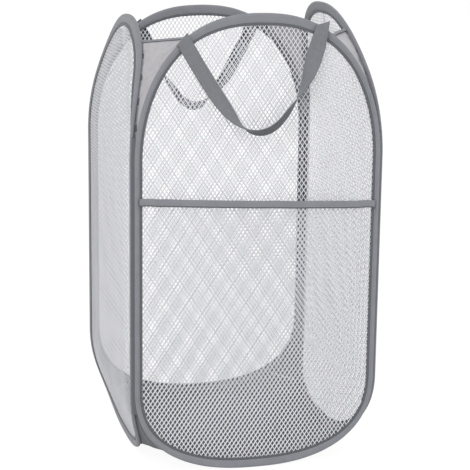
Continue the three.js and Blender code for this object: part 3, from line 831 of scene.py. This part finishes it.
@dataclass
class HoopBinding:
    """A tape folded over the wire and the edge of the net, and sewn down near its inner edges."""

    finishes: Finishes
    side_width: float = 0.0100
    top_width: float = 0.0155
    bottom_width: float = 0.0145
    width_power: float = 4.0
    cloth: float = 0.00045
    stitch_depth: float = 0.0038
    stitch_out_mm: float = 0.72
    stitch_pitch: float = 0.0034
    thread: float = 0.0005
    stations: int = 300
    across: int = 26
    pucker: float = 0.00022
    slack: float = 0.00025
    bulge: float = 0.00012
    least_out: float = 0.0006

    def width_at(self, station: Station) -> float:
        """How wide the folded tape is where the hoop runs in a direction."""
        level = station.inward_z
        end = self.top_width if level < 0.0 else self.bottom_width
        return mix(self.side_width, end, abs(level) ** self.width_power)

    def section(self, width: float) -> list[tuple[float, float]]:
        """Half of the tape's section, from its inner edge to the fold.

        Args:
            width: Width of the folded tape.

        Returns:
            Depth from the hoop's outer edge, and distance out of the panel's middle plane.
        """
        stitch = width - self.stitch_depth
        by_wire = 4.4 * MM
        rows = [
            (width, 1.05),
            (width - 0.5 * MM, 1.15),
            (stitch + 1.3 * MM, 1.18),
            (stitch + 0.5 * MM, 0.95),
            (stitch, self.stitch_out_mm),
            (stitch - 0.5 * MM, 0.98),
            (stitch - 1.3 * MM, 1.35),
            (mix(stitch - 1.3 * MM, by_wire, 0.5), 1.75),
            (by_wire, 2.05),
            (3.0 * MM, 2.27),
            (1.7 * MM, 2.16),
            (0.8 * MM, 1.68),
            (0.28 * MM, 0.95),
            (0.2 * MM, 0.0),
        ]
        return [(depth, out_mm * MM) for depth, out_mm in rows]

    def build(self, panel: Panel) -> None:
        """Makes the tape and its stitches for one panel."""
        ring = panel.hoop.stations(self.stations)
        total = panel.hoop.length()
        half_count = self.across // 2
        seed = panel.side.value * 7.3

        def place(u: float, v: float) -> Vector:
            station = ring[round(u * self.stations) % self.stations]
            half = self.section(self.width_at(station))
            row = round(v * self.across)
            sign = 1.0 if row <= half_count else -1.0
            depth, out = half[row if row <= half_count else self.across - row]
            inner = smooth_step(0.004, 0.009, depth)
            gather = self.pucker * inner * ripple(station.along * 170.0, sign * 3.0, seed)
            slack = self.slack * inner * ripple(station.along * 35.0, sign * 5.0, seed)
            bulge = self.bulge * ripple(station.along * 60.0, 9.0, seed)
            x, z = station.inset(depth + bulge)
            reach = max(out + gather + slack, self.least_out) if row != half_count else out
            return panel.place(x, z, sign * reach)

        tape = piece_from(
            panel.tape,
            sheet_grid(self.stations, self.across, total, TAPE_WIDTH, place, closed=True),
            [self.finishes.tape],
        )
        thicken(tape, self.cloth)
        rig.ride(tape, panel.name)
        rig.replaces(tape, f"{panel.name}_binding")
        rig.slot(tape, "binding")
        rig.sheet(tape, flat=(TAPE_WIDTH, total), held="folded", rests_on=[f"{panel.name}_hoop_wire"])
        self.stitches(panel, total)
        log.info("binding of the %s panel", panel.name)

    def stitches(self, panel: Panel, total: float) -> None:
        """Makes one row of stitches on each face of the tape."""
        shape = bmesh.new()
        count = round(total / self.stitch_pitch)
        ring = panel.hoop.stations(count)
        for k, station in enumerate(ring):
            there = ring[(k + 1) % count]
            depth = self.width_at(station) - self.stitch_depth
            for sign in (1.0, -1.0):
                out = sign * (self.stitch_out_mm * MM + self.cloth / 2.0 + self.thread * 0.25)
                a = panel.place(*station.inset(depth), out)
                b = panel.place(*there.inset(depth), out)
                add_stitch(shape, a, b, panel.outward() * sign, self.thread)
        piece = piece_from(f"{panel.name}_binding_stitches", shape, [self.finishes.thread], turn_out=False)
        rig.ride(piece, panel.name)
        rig.slot(piece, "binding")


def add_stitch(shape: bmesh.types.BMesh, start: Vector, end: Vector, up: Vector, thread: float) -> None:
    """Adds one stitch, a thread that lies on the cloth and dips in at both ends.

    Args:
        shape: The mesh that it is added to.
        start: Where it comes out of the cloth.
        end: Where it goes back in.
        up: Away from the cloth.
        thread: The thread's thickness.
    """
    run = (end - start) * 0.42
    middle = (start + end) * 0.5
    side = up.cross(run).normalized() * (thread * 0.55)
    made = bmesh.ops.create_icosphere(shape, subdivisions=1, radius=1.0)
    lift = up.normalized() * (thread * 0.5)
    for vert in made["verts"]:
        a, b, c = vert.co
        vert.co = middle + run * a + side * b + lift * c


@dataclass
class PanelNet:
    """Knitted net with diamond holes in staggered rows, held in the binding of its hoop."""

    finishes: Finishes
    pitch: float = 0.006
    row: float = 0.0045
    strand: float = 0.0005
    thickness: float = 0.0004
    hidden_edge: float = 0.0034
    slack: float = 0.0016

    def flat_net(self, hold: Callable[[float, float], tuple[float, float]]) -> bmesh.types.BMesh:
        """A flat net in x and z, without thickness.

        Args:
            hold: Gives the nearest point to which the net may reach.

        Returns:
            The net.
        """
        net = bmesh.new()
        cells = 126
        bmesh.ops.create_grid(net, x_segments=cells, y_segments=cells, size=cells / 2.0)
        for vert in net.verts:
            i, j = vert.co.x, vert.co.y
            vert.co = Vector(((i - j) * self.pitch / 2.0, (i + j) * self.row + 0.306, 0.0))
        middles = {face: face.calc_center_median() for face in net.faces}
        outside = [face for face, at in middles.items() if math.dist(hold(at.x, at.y), (at.x, at.y)) > 0.0]
        bmesh.ops.delete(net, geom=outside, context="FACES")
        for vert in net.verts:
            vert.co.xy = hold(vert.co.x, vert.co.y)
        holes = list(net.faces)
        bmesh.ops.inset_individual(net, faces=holes, thickness=self.strand, use_even_offset=True)
        bmesh.ops.delete(net, geom=holes, context="FACES_ONLY")
        return net

    def build(self, panel: Panel) -> None:
        """Makes the net of one panel."""
        seed = panel.side.value * 3.1 + 0.4
        net = self.flat_net(lambda x, z: panel.hoop.held_inside(x, z, self.hidden_edge))
        for vert in net.verts:
            x, z = vert.co.x, vert.co.y
            free = smooth_step(0.012, 0.07, panel.hoop.depth_inside(x, z))
            out = self.slack * free * (ripple(x * 9.0, z * 7.0, seed) + 0.5 * ripple(x * 22.0, z * 16.0, seed))
            vert.co = panel.place(x, z, out)
        piece = piece_from(f"{panel.name}_net", net, [self.finishes.net])
        thicken(piece, self.thickness)
        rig.ride(piece, panel.name)
        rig.replaces(piece, f"{panel.name}_mesh")
        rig.slot(piece, "mesh")
        size = (2.0 * panel.hoop.half_width - 0.008, panel.hoop.height - 0.008)
        area = min(cloth_area(piece), size[0] * size[1])
        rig.sheet(piece, flat=size, area=area, held="stretched", rests_on=[panel.tape])
        log.info("net of the %s panel: %d faces", panel.name, len(piece.data.polygons))


@dataclass(frozen=True)
class Corner:
    """A corner of the hamper, between one panel's +x end and the next panel's -x end."""

    name: str
    side: Side
    next_side: Side
    jointed: bool

    @property
    def panel(self) -> Panel:
        """The panel whose +x end is here."""
        return PANELS[self.side]

    @property
    def next_panel(self) -> Panel:
        """The panel whose -x end is here."""
        return PANELS[self.next_side]

    @property
    def meeting(self) -> tuple[tuple[Panel, float], ...]:
        """The two panels, and the sign of x at the end that is here."""
        return (self.panel, 1.0), (self.next_panel, -1.0)

    @property
    def tapes(self) -> list[str]:
        """The bindings that the corner's cloth is sewn to."""
        return [self.panel.tape, self.next_panel.tape]


CORNERS = (
    Corner("front_right", Side.FRONT, Side.RIGHT, False),
    Corner("back_right", Side.RIGHT, Side.BACK, True),
    Corner("back_left", Side.BACK, Side.LEFT, True),
    Corner("front_left", Side.LEFT, Side.FRONT, True),
)


@dataclass
class CornerCloth:
    """Cloth that closes the corners where the hoops round off, with a hem along its top."""

    finishes: Finishes
    sewn_depth: float = 0.0036
    sewn_out: float = -0.0024
    cloth: float = 0.0003
    top_angle: float = math.radians(57.0)
    floor_angle: float = math.radians(360.0 / 7.0)
    foot_angle: float = math.radians(4.0)
    sag: float = 0.004
    wrinkle: float = 0.0017
    seam_strip: float = 0.005
    hem_cloth: float = 0.0004
    upper_reach: float = 0.018
    lower_reach: float = 0.025
    seam_reach: float = 0.0035
    least_share: float = 0.31
    fullness: float = 1.25

    def ends(self, corner: Corner, top: bool, angle: float, depth: float = 0.0) -> tuple[Vector, Vector]:
        """Where the cloth is sewn to the two panels at a place of their arches."""
        found = []
        for panel, sign in corner.meeting:
            x, z = panel.hoop.sewn_point(top, angle, self.sewn_depth + depth)
            found.append(panel.place(sign * x, z, self.sewn_out))
        return found[0], found[1]

    def inward(self, corner: Corner) -> Vector:
        """The level direction from a corner towards the laundry."""
        return -(corner.panel.outward() + corner.next_panel.outward()).normalized()

    def upper(self, corner: Corner) -> None:
        """Makes the thin nylon gusset between the rounded tops of two hoops."""
        inward = self.inward(corner)
        seed = corner.side.value * 5.7
        start = math.radians(3.0)
        fan_end = 1.0 if corner.next_side in (Side.FRONT, Side.BACK) else 0.0

        def span_at(v: float) -> tuple[Vector, Vector]:
            return self.ends(corner, True, mix(start, self.top_angle, v))

        a, b = span_at(1.0)
        width = (b - a).length
        height = a.z - span_at(0.0)[0].z

        def place(u: float, v: float) -> Vector:
            a, b = span_at(v)
            span = (b - a).length
            crown = crown_at(u)
            turn = math.atan2((1.03 - v) * height * 0.5, abs(u - fan_end) * span + 0.001)
            fan = math.sin(turn * 13.0 + seed) + 0.9 * ripple(turn * 7.0, u * 1.5, seed)
            small = 0.25 * ripple(u * 14.0, v * 11.0, seed)
            deep = self.sag * crown * (span / 0.06)
            deep += self.wrinkle * (fan + small) * min(span / 0.05, 1.2) * crown**0.5
            return a.lerp(b, u) + inward * (deep * 0.8)

        shape = sheet_grid(48, 44, width, height, place)
        uv = shape.loops.layers.uv.active
        for face in shape.faces:
            centre = sum((loop[uv].uv for loop in face.loops), Vector((0.0, 0.0))) / len(face.loops)
            ends = span_at(centre.y / height)
            share = centre.x / width
            if min(share, 1.0 - share) * (ends[1] - ends[0]).length < self.seam_strip:
                face.material_index = 1
        materials = [self.finishes.nylon, self.finishes.tape]
        piece = piece_from(f"upper_gusset_cloth_{corner.name}", shape, materials)
        thicken(piece, self.cloth)
        self.attach(piece, corner, self.upper_reach)
        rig.replaces(piece, f"upper_gusset_{corner.name}")
        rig.slot(piece, "nylon")
        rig.sheet(
            piece,
            flat=(width, height * self.fullness),
            area=max(cloth_area(piece), width * height * self.fullness * self.least_share),
            held="gathered",
            rests_on=corner.tapes,
            with_pieces=[self.hem(corner)],
        )
        log.info("upper gusset %s", corner.name)

    def hem(self, corner: Corner) -> bpy.types.Object:
        """Makes the tape folded over the top edge of an upper gusset."""
        inward = self.inward(corner)
        a, b = self.ends(corner, True, self.top_angle)
        foot = self.ends(corner, True, self.top_angle - self.foot_angle)
        slope = ((a + b) - (foot[0] + foot[1])).normalized()
        face = (b - a).normalized().cross(slope)
        if face.dot(inward) < 0.0:
            face.negate()
        rows = [(0.0, 0.6), (0.6, 0.75), (1.1, 0.6), (1.6, 0.75), (3.2, 0.8), (4.2, 0.5), (4.4, 0.0)]
        loop = rows + [(rise, -half) for rise, half in reversed(rows[:-1])]
        count = len(loop) - 1

        def place(u: float, v: float) -> Vector:
            rise, half = loop[round(v * count)]
            deep = self.sag * crown_at(u) * ((b - a).length / 0.06) * 0.8
            point = a.lerp(b, mix(-0.03, 1.03, u))
            out = half * MM + 0.08 * MM * ripple(u * 20.0, half)
            return point + inward * deep + slope * (rise * MM) + face * out

        shape = sheet_grid(28, count, (b - a).length, TAPE_WIDTH, place)
        piece = piece_from(f"gusset_hem_tape_{corner.name}", shape, [self.finishes.tape])
        thicken(piece, self.hem_cloth)
        self.attach(piece, corner, self.upper_reach)
        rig.replaces(piece, f"gusset_hem_{corner.name}")
        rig.slot(piece, "binding")
        return piece

    def lower(self, corner: Corner) -> None:
        """Makes the cloth between the rounded bottoms of two hoops."""
        inward = self.inward(corner)
        seed = corner.side.value * 2.9

        def place(u: float, v: float) -> Vector:
            angle = mix(self.floor_angle, self.foot_angle, v)
            a, b = self.ends(corner, False, angle)
            slack = -self.sag * 0.6 * ((b - a).length / 0.08)
            deep = (slack + self.wrinkle * ripple(u * 6.0, v * 2.0, seed)) * crown_at(u)
            return a.lerp(b, u) + inward * deep

        a, b = self.ends(corner, False, self.floor_angle)
        width = (b - a).length
        height = (self.ends(corner, False, self.foot_angle)[0] - a).length
        shape = sheet_grid(32, 24, width, height, place)
        piece = piece_from(f"lower_gusset_cloth_{corner.name}", shape, [self.finishes.floor_cloth])
        thicken(piece, self.cloth)
        self.attach(piece, corner, self.lower_reach)
        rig.replaces(piece, f"lower_gusset_{corner.name}")
        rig.slot(piece, "floor_cloth")
        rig.sheet(
            piece,
            flat=(width, height),
            area=max(cloth_area(piece), width * height * self.least_share),
            held="stretched",
            rests_on=corner.tapes,
        )
        log.info("lower gusset %s", corner.name)

    def seam(self, corner: Corner) -> None:
        """Makes the narrow tape sewn over the gap between the straight sides of two bindings."""
        low, high = 0.085, 0.452
        edge, out, bow = 0.0012, 0.0012, 0.0006
        rings = 90

        def place(u: float, v: float) -> Vector:
            z = mix(low, high, u)
            ends = []
            for panel, sign in corner.meeting:
                hoop = panel.hoop
                x = hoop.half_width - hoop.top_inset(z) - hoop.foot_inset(z) - edge
                ends.append(panel.place(sign * x, z, out))
            pucker = 0.25 * MM * ripple(u * 60.0, v * 2.0, corner.side.value * 3.3)
            return ends[0].lerp(ends[1], v) - self.inward(corner) * (bow * crown_at(v) + pucker)

        shape = sheet_grid(rings, 6, high - low, 0.004, place)
        piece = piece_from(f"corner_seam_tape_{corner.name}", shape, [self.finishes.tape])
        thicken(piece, self.hem_cloth)
        self.attach(piece, corner, self.seam_reach)
        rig.slot(piece, "binding")
        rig.sheet(
            piece,
            flat=(0.010, high - low),
            area=cloth_area(piece),
            held="stretched",
            rests_on=corner.tapes,
        )

    def attach(self, piece: bpy.types.Object, corner: Corner, reach: float) -> None:
        """Lets a corner piece bend with its two panels, or flatten where no joint holds it.

        Args:
            piece: The cloth or hem, in its final shape.
            corner: Its corner.
            reach: How far on each side of the corner's middle the cloth bends.
        """
        if not corner.jointed:
            corner.next_panel.flatten(piece)
            return
        near = 0.3
        a, b = self.ends(corner, True, near)
        middle = (a + b) * 0.5
        across = (corner.next_panel.outward() - corner.panel.outward()).normalized()
        start = middle - across * reach
        end = middle + across * reach
        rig.blend(piece, corner.panel.name, corner.next_panel.name, start=tuple(start), end=tuple(end))


@dataclass
class ClothFloor:
    """The cloth floor, in four quarters that meet on its diagonals and fold away with their panels."""

    finishes: Finishes
    sewn_depth: float = 0.0036
    sewn_out: float = -0.0024
    cloth: float = 0.0005
    rest: float = 0.0006
    wave: float = 0.0012
    floor_angle: float = math.radians(360.0 / 7.0)

    def edge(self, panel: Panel, share: float) -> Vector:
        """A point of the quarter's outer edge, from one diagonal (-1) to the other (1)."""
        bend = 0.8
        sign = 1.0 if share >= 0.0 else -1.0
        size = abs(share)
        angle = mix(math.pi / 2.0, self.floor_angle, min(size / bend, 1.0))
        x, z = panel.hoop.sewn_point(False, angle, self.sewn_depth)
        sewn = panel.place(sign * x, z, self.sewn_out)
        if size <= bend:
            return sewn
        other = PANELS[Side((panel.side.value + int(sign)) % len(Side))]
        x, z = other.hoop.sewn_point(False, self.floor_angle, self.sewn_depth)
        facing = other.place(-sign * x, z, self.sewn_out)
        return sewn.lerp(facing, 0.5 * (size - bend) / (1.0 - bend))

    def build(self) -> None:
        """Makes the four quarters."""
        for panel in PANELS.values():
            self.quarter(panel)

    def quarter(self, panel: Panel) -> None:
        """Makes one quarter."""
        seed = panel.side.value * 4.3

        def place(u: float, v: float) -> Vector:
            edge = self.edge(panel, 2.0 * u - 1.0)
            flat = edge * v
            rise = smooth_step(0.62, 1.02, v) ** 1.3
            wave = 0.5 + 0.5 * ripple(flat.x * 28.0, flat.y * 28.0, seed)
            wave *= self.wave * smooth_step(0.0, 0.3, v)
            gap = 4.0 * min(u, 1.0 - u, 0.25)
            z = mix(self.rest + wave * gap * smooth_step(1.0, 0.7, v), edge.z, rise)
            return Vector((flat.x, flat.y, z))

        shape = sheet_grid(60, 44, 0.3, 0.16, place)
        bmesh.ops.remove_doubles(shape, verts=shape.verts, dist=SAME_PLACE)
        piece = piece_from(f"floor_cloth_{panel.name}", shape, [self.finishes.floor_cloth])
        thicken(piece, self.cloth)
        panel.flatten(piece)
        if panel.side is Side.BACK:
            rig.replaces(piece, "floor_panel", *[f"floor_border_{p.name}" for p in PANELS.values()])
        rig.slot(piece, "floor_cloth")
        area = cloth_area(piece)
        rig.sheet(piece, flat=(0.33, 0.165), area=area, held="stretched", rests_on=[panel.tape])
        log.info("floor quarter of the %s panel", panel.name)


@dataclass(frozen=True)
class Hang:
    """How one handle hangs off its panel's middle, and where the corners of its sewn ends are.

    The corners are given as outer and inner ones, across and up from the hoop's top.
    """

    top_shift: float
    low_left_shift: float
    low_right_shift: float
    narrowing: float
    left_end: tuple[tuple[float, float], tuple[float, float]]
    right_end: tuple[tuple[float, float], tuple[float, float]]

    def shift_at(self, x: float, height: float) -> float:
        """Sideways shift at a place along the loop, at a share of its height."""
        left = mix(self.low_left_shift, self.top_shift, height)
        right = mix(self.low_right_shift, self.top_shift, max(height, 0.0) ** 2)
        return mix(left, right, smooth_step(-0.025, 0.020, x))


HANGS = {
    Side.FRONT: Hang(
        top_shift=-0.0127,
        low_left_shift=-0.008,
        low_right_shift=0.0,
        narrowing=1.0,
        left_end=((-0.1125, -0.040), (-0.098, -0.024)),
        right_end=((0.088, -0.0105), (0.0715, -0.0155)),
    ),
    Side.BACK: Hang(
        top_shift=0.006,
        low_left_shift=0.006,
        low_right_shift=0.006,
        narrowing=0.94,
        left_end=((-0.093, -0.0245), (-0.073, -0.0165)),
        right_end=((0.105, -0.034), (0.090, -0.020)),
    ),
}


@dataclass
class Handle:
    """A webbing strap with its two ends sewn on over the binding, hanging in a loop."""

    finishes: Finishes
    spacing: float = 0.171
    drop: float = 0.109
    tip: float = 0.086
    width: float = 0.020
    thickness: float = 0.0016
    twist: float = math.radians(-127.0)
    twist_offset: float = 0.019
    twist_length: float = 0.050
    depth_below_top: float = 0.042
    bend_height: float = 0.012
    tab_face: float = 0.0028
    end_bow: float = 0.0004
    edge_trim: float = 0.0003
    face_trim: float = 0.0002
    length: float = 0.33
    loop_share: float = 0.84
    steps: int = 110
    across: int = 8

    @property
    def reach(self) -> float:
        """Half the distance between the sewn ends."""
        return self.spacing / 2.0

    @property
    def steepness(self) -> float:
        """Slope of the straight parts of the loop."""
        return math.sqrt((self.drop + self.tip) ** 2 - self.tip**2) / self.reach

    def fall(self, x: float) -> float:
        """Height of the loop under its ends."""
        return math.hypot(x * self.steepness, self.tip) - self.drop - self.tip

    def slope(self, x: float) -> float:
        """How steep the loop is."""
        return x * self.steepness**2 / math.hypot(x * self.steepness, self.tip)

    def strap_point(self, axis: float, x: float, offset: float) -> tuple[float, float, float]:
        """A point of the strap's middle surface, across, up and out.

        Args:
            axis: Height of the line where the ends are sewn on.
            x: Place along the loop.
            offset: Distance from the strap's centre line, towards its upper edge.
        """
        slope = self.slope(x)
        along = Vector((1.0, 0.0, slope)).normalized()
        in_plane = Vector((-slope, 0.0, 1.0)).normalized()
        away = abs(x - self.twist_offset) / self.twist_length
        twist = self.twist * math.exp(-(away**3))
        across = Matrix.Rotation(twist, 3, along) @ in_plane
        stand_off = self.tab_face + self.thickness / 2.0 + self.width / 2.0 * abs(math.sin(twist))
        point = Vector((x, -stand_off, axis + self.fall(x))) + across * offset
        return point.x, point.z, -point.y

    def build(self, panel: Panel) -> None:
        """Makes one strap, from one sewn end round the loop to the other."""
        axis = panel.hoop.height - self.depth_below_top
        hang = HANGS[panel.side]

        def place(u: float, v: float) -> Vector:
            offset = (v - 0.5) * (self.width - self.edge_trim)
            along = (u - 0.5) / (self.loop_share / 2.0)
            sign = 1.0 if along > 0.0 else -1.0
            slope = self.slope(sign * self.reach)
            cut = sign * self.reach - offset / (math.hypot(1.0, slope) * slope)
            across, up, out = self.strap_point(axis, cut * min(abs(along), 1.0), offset)
            across = across * hang.narrowing + hang.shift_at(across, 1.0 + (up - axis) / self.drop)
            beyond = (abs(along) - 1.0) * self.loop_share / (1.0 - self.loop_share)
            if beyond > 0.0:
                outer, inner = hang.right_end if sign > 0.0 else hang.left_end
                across = mix(across, mix(outer[0], inner[0], v), beyond)
                up = mix(up, mix(outer[1], inner[1], v) + panel.hoop.height, beyond)
                out += self.end_bow * math.sin(beyond * math.pi)
            return panel.place(across, up, out)

        strap = piece_from(
            f"{panel.name}_handle_strap",
            sheet_grid(self.steps, self.across, self.length, self.width, place),
            [self.finishes.webbing, self.finishes.webbing_back],
            turn_out=False,
        )
        # The back face takes the darker copy of the webbing, which is painted shade.
        thicken(strap, self.thickness - self.face_trim, back_material=True)
        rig.blend(
            strap,
            panel.name,
            f"handle_{panel.name}",
            start=tuple(panel.place(0.0, axis, 0.0)),
            end=tuple(panel.place(0.0, axis - self.bend_height, 0.0)),
        )
        ends = [f"{panel.name}_handle_tab_{letter}" for letter in "ab"]
        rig.replaces(strap, f"{panel.name}_handle", *ends)
        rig.slot(strap, "webbing")
        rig.sheet(strap, flat=(self.width, self.length), held="hung", rests_on=[panel.tape])
        log.info("handle of the %s panel", panel.name)


@dataclass
class Pocket:
    """A second layer of net over the lower half of the front, with a tape over its mouth."""

    finishes: Finishes
    net: PanelNet
    middle: float = 0.367
    fall: float = -0.044
    inset: float = 0.0045
    bulge: float = 0.008
    gap: float = 0.0016
    start: float = 0.040
    band_height: float = 0.009
    band_cloth: float = 0.0004
    least_out: float = 0.0006
    wave: float = 0.0012

    def mouth(self, x: float) -> float:
        """Height of the mouth, which is sewn a little lower on the right."""
        return self.middle + self.fall * x

    def out(self, x: float, z: float) -> float:
        """How far the pocket stands out of the panel's middle plane."""
        hoop = PANELS[Side.FRONT].hoop
        half = hoop.half_width - 0.007
        full = self.mouth(x) - self.band_height
        opened = min(max((z - self.start) / (full - self.start), 0.0), 1.0)
        across = max(0.0, 1.0 - (x / half) ** 2)
        held = smooth_step(0.012, 0.032, hoop.depth_inside(x, z))
        return self.least_out + held * (0.0008 + opened * (self.gap + self.bulge * across))

    def build(self) -> None:
        """Makes the net and the tape of the pocket."""
        panel = PANELS[Side.FRONT]
        hoop = panel.hoop

        def hold(x: float, z: float) -> tuple[float, float]:
            x, z = hoop.held_inside(x, z, self.inset)
            return x, min(z, self.mouth(x) - 0.001)

        net = self.net.flat_net(hold)
        for vert in net.verts:
            x, z = vert.co.x, vert.co.y
            free = smooth_step(0.012, 0.05, hoop.depth_inside(x, z))
            wave = self.wave * free * ripple(x * 8.0, z * 6.0, 8.8)
            vert.co = panel.place(x, z, self.out(x, z) + wave * 0.6)
        pocket = piece_from("pocket_net", net, [self.finishes.net])
        thicken(pocket, self.net.thickness)
        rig.ride(pocket, "front")
        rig.replaces(pocket, "pocket_mesh")
        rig.slot(pocket, "mesh")
        size = (2.0 * (hoop.half_width - self.inset), self.middle)
        area = min(cloth_area(pocket), size[0] * size[1])
        tape = self.band(panel)
        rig.sheet(pocket, flat=size, area=area, held="stretched", with_pieces=[tape])
        log.info("pocket")

    def band(self, panel: Panel) -> bpy.types.Object:
        """Makes the tape folded over the mouth of the pocket."""
        foot = -self.band_height
        top = 0.0009
        rows = [
            (foot, 0.75),
            (foot + 0.0012, 0.95),
            (foot + 0.002, 0.6),
            (foot + 0.003, 0.95),
            (top - 0.0022, 1.2),
            (top - 0.0008, 0.85),
            (top - 0.0002, 0.0),
        ]
        loop = rows + [(rise, -out) for rise, out in reversed(rows[:-1])]
        count = len(loop) - 1
        half = panel.hoop.half_width - 0.006
        side_band, lap, on_binding = 0.0105, 0.004, 0.0034

        def place(u: float, v: float) -> Vector:
            x = mix(-half, half, u)
            rise, out = loop[round(v * count)]
            wave = 0.4 * MM * ripple(x * 30.0, 1.0, 4.0)
            lift = smooth_step(0.0, 0.012, panel.hoop.half_width - side_band + lap - abs(x))
            mouth = self.mouth(x)
            ground = mix(on_binding, self.out(x, mouth - self.band_height), lift)
            return panel.place(x, mouth + rise + wave, ground + out * MM)

        shape = sheet_grid(120, count, 2.0 * half, TAPE_WIDTH, place)
        tape = piece_from("pocket_edge_tape", shape, [self.finishes.tape])
        thicken(tape, self.band_cloth)
        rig.ride(tape, "front")
        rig.replaces(tape, "pocket_edge_band")
        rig.slot(tape, "binding")
        return tape


# Surroundings


@dataclass(frozen=True)
class Viewpoint:
    """The photograph's camera, from a fit of the hoops' outlines."""

    focal_pixels: float = 1493.6
    azimuth: float = math.radians(-15.095)
    elevation: float = math.radians(12.228)
    distance: float = 2.11733
    target: tuple[float, float, float] = (0.0122, 0.0, 0.28479)
    roll: float = math.radians(0.741)
    image_pixels: float = 470.0
    sensor_mm: float = 36.0

    def build(self) -> None:
        """Makes the camera and sets it as the scene's."""
        az, el = self.azimuth, self.elevation
        back = Vector((math.sin(az) * math.cos(el), -math.cos(az) * math.cos(el), math.sin(el)))
        right = Vector((math.cos(az), math.sin(az), 0.0))
        up = back.cross(right)
        turned = right * math.cos(self.roll) + up * math.sin(self.roll)
        upright = up * math.cos(self.roll) - right * math.sin(self.roll)
        data = bpy.data.cameras.new("photo_camera")
        data.sensor_width = self.sensor_mm
        data.lens = self.focal_pixels * self.sensor_mm / self.image_pixels
        data.clip_start = 0.05
        data.clip_end = 60.0
        camera = bpy.data.objects.new("photo_camera", data)
        bpy.context.scene.collection.objects.link(camera)
        frame = Matrix((turned, upright, back)).transposed().to_4x4()
        camera.matrix_world = Matrix.Translation(Vector(self.target) + back * self.distance) @ frame
        bpy.context.scene.camera = camera


@dataclass
class Studio:
    """A plain white floor and soft lamps."""

    sky: float = 0.62
    key_power: float = 34.0
    fill_power: float = 10.0
    floor_glow: float = 0.86

    def build(self) -> None:
        """Makes the world, the floor and the lamps."""
        scene = bpy.context.scene
        scene.view_settings.view_transform = "Standard"
        world = bpy.data.worlds.new("white_room")
        scene.world = world
        world.use_nodes = True
        tree = world.node_tree
        tree.nodes.clear()
        path = add_node(tree, "ShaderNodeLightPath")
        seen = path.outputs["Is Camera Ray"]
        for ray in ("Is Glossy Ray", "Is Transmission Ray"):
            either = {0: seen, 1: path.outputs[ray]}
            seen = add_node(tree, "ShaderNodeMath", either, operation="MAXIMUM").outputs[0]
        strength = add_node(
            tree, "ShaderNodeMapRange", {"Value": seen, "To Min": self.sky, "To Max": 1.0}
        )
        sky = add_node(tree, "ShaderNodeBackground", {"Color": WHITE, "Strength": strength.outputs[0]})
        add_node(tree, "ShaderNodeOutputWorld", {"Surface": sky.outputs[0]})
        self.floor()
        self.lamp("key_lamp", (-1.3, -1.9, 2.3), 1.6, self.key_power)
        self.lamp("fill_lamp", (2.1, -1.2, 1.3), 1.8, self.fill_power)

    def floor(self) -> None:
        """Makes the floor, white to the camera but for part of the object's shadow."""
        shape = bmesh.new()
        bmesh.ops.create_circle(shape, cap_ends=True, radius=9.0, segments=64)
        for vert in shape.verts:
            vert.co.z = -0.5 * MM
        material = bpy.data.materials.new("white_floor")
        material.use_nodes = True
        tree = material.node_tree
        shader = tree.nodes["Principled BSDF"]
        shader.inputs["Base Color"].default_value = linear_colour("#f4f4f4")
        shader.inputs["Roughness"].default_value = 0.9
        glow = add_node(tree, "ShaderNodeEmission", {"Color": WHITE, "Strength": 1.1})
        path = add_node(tree, "ShaderNodeLightPath")
        seen = {0: path.outputs["Is Camera Ray"], 1: self.floor_glow}
        share = add_node(tree, "ShaderNodeMath", seen, operation="MULTIPLY")
        both = add_node(
            tree, "ShaderNodeMixShader", {0: share.outputs[0], 1: shader.outputs[0], 2: glow.outputs[0]}
        )
        tree.links.new(both.outputs[0], tree.nodes["Material Output"].inputs["Surface"])
        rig.stage(piece_from("white_floor", shape, [material]))

    def lamp(self, name: str, place: tuple[float, float, float], size: float, power: float) -> None:
        """Makes a square lamp that looks at the middle of the hamper."""
        data = bpy.data.lights.new(name, "AREA")
        data.size = size
        data.energy = power
        lamp = bpy.data.objects.new(name, data)
        bpy.context.scene.collection.objects.link(lamp)
        look = Vector((0.0, 0.0, MIDDLE_HEIGHT)) - Vector(place)
        lamp.matrix_world = Matrix.Translation(place) @ look.to_track_quat("-Z", "Y").to_matrix().to_4x4()


def dress_metal(frame: dict, finishes: Finishes) -> None:
    """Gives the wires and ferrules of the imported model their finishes."""
    for side in PANELS.values():
        for node, material in (("hoop_wire", finishes.wire), ("wire_ferrule", finishes.sleeve)):
            piece = frame["nodes"][f"{side.name}_{node}"]
            for slot in piece.material_slots:
                slot.material = material


def plain_box() -> list[list[float]]:
    """The whole object's lowest and highest corners as plain lists."""
    return [[float(v) for v in corner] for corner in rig.bounds()]


def main() -> None:
    """Builds every sub-assembly and writes the sizes."""
    logging.basicConfig(level=logging.INFO, format="%(message)s")
    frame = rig.load()
    solids = plain_box()
    finishes = Finishes()
    Viewpoint().build()
    Studio().build()
    dress_metal(frame, finishes)
    binding = HoopBinding(finishes)
    net = PanelNet(finishes)
    for panel in PANELS.values():
        binding.build(panel)
        net.build(panel)
    cloth = CornerCloth(finishes)
    for corner in CORNERS:
        cloth.upper(corner)
        cloth.lower(corner)
        cloth.seam(corner)
    ClothFloor(finishes).build()
    handle = Handle(finishes)
    handle.build(PANELS[Side.FRONT])
    handle.build(PANELS[Side.BACK])
    Pocket(finishes, net).build()
    with open(SIZE_FILE, "w", encoding="utf-8") as out:
        json.dump({"cad": solids, "visual": plain_box()}, out)


if __name__ == "__main__":
    main()
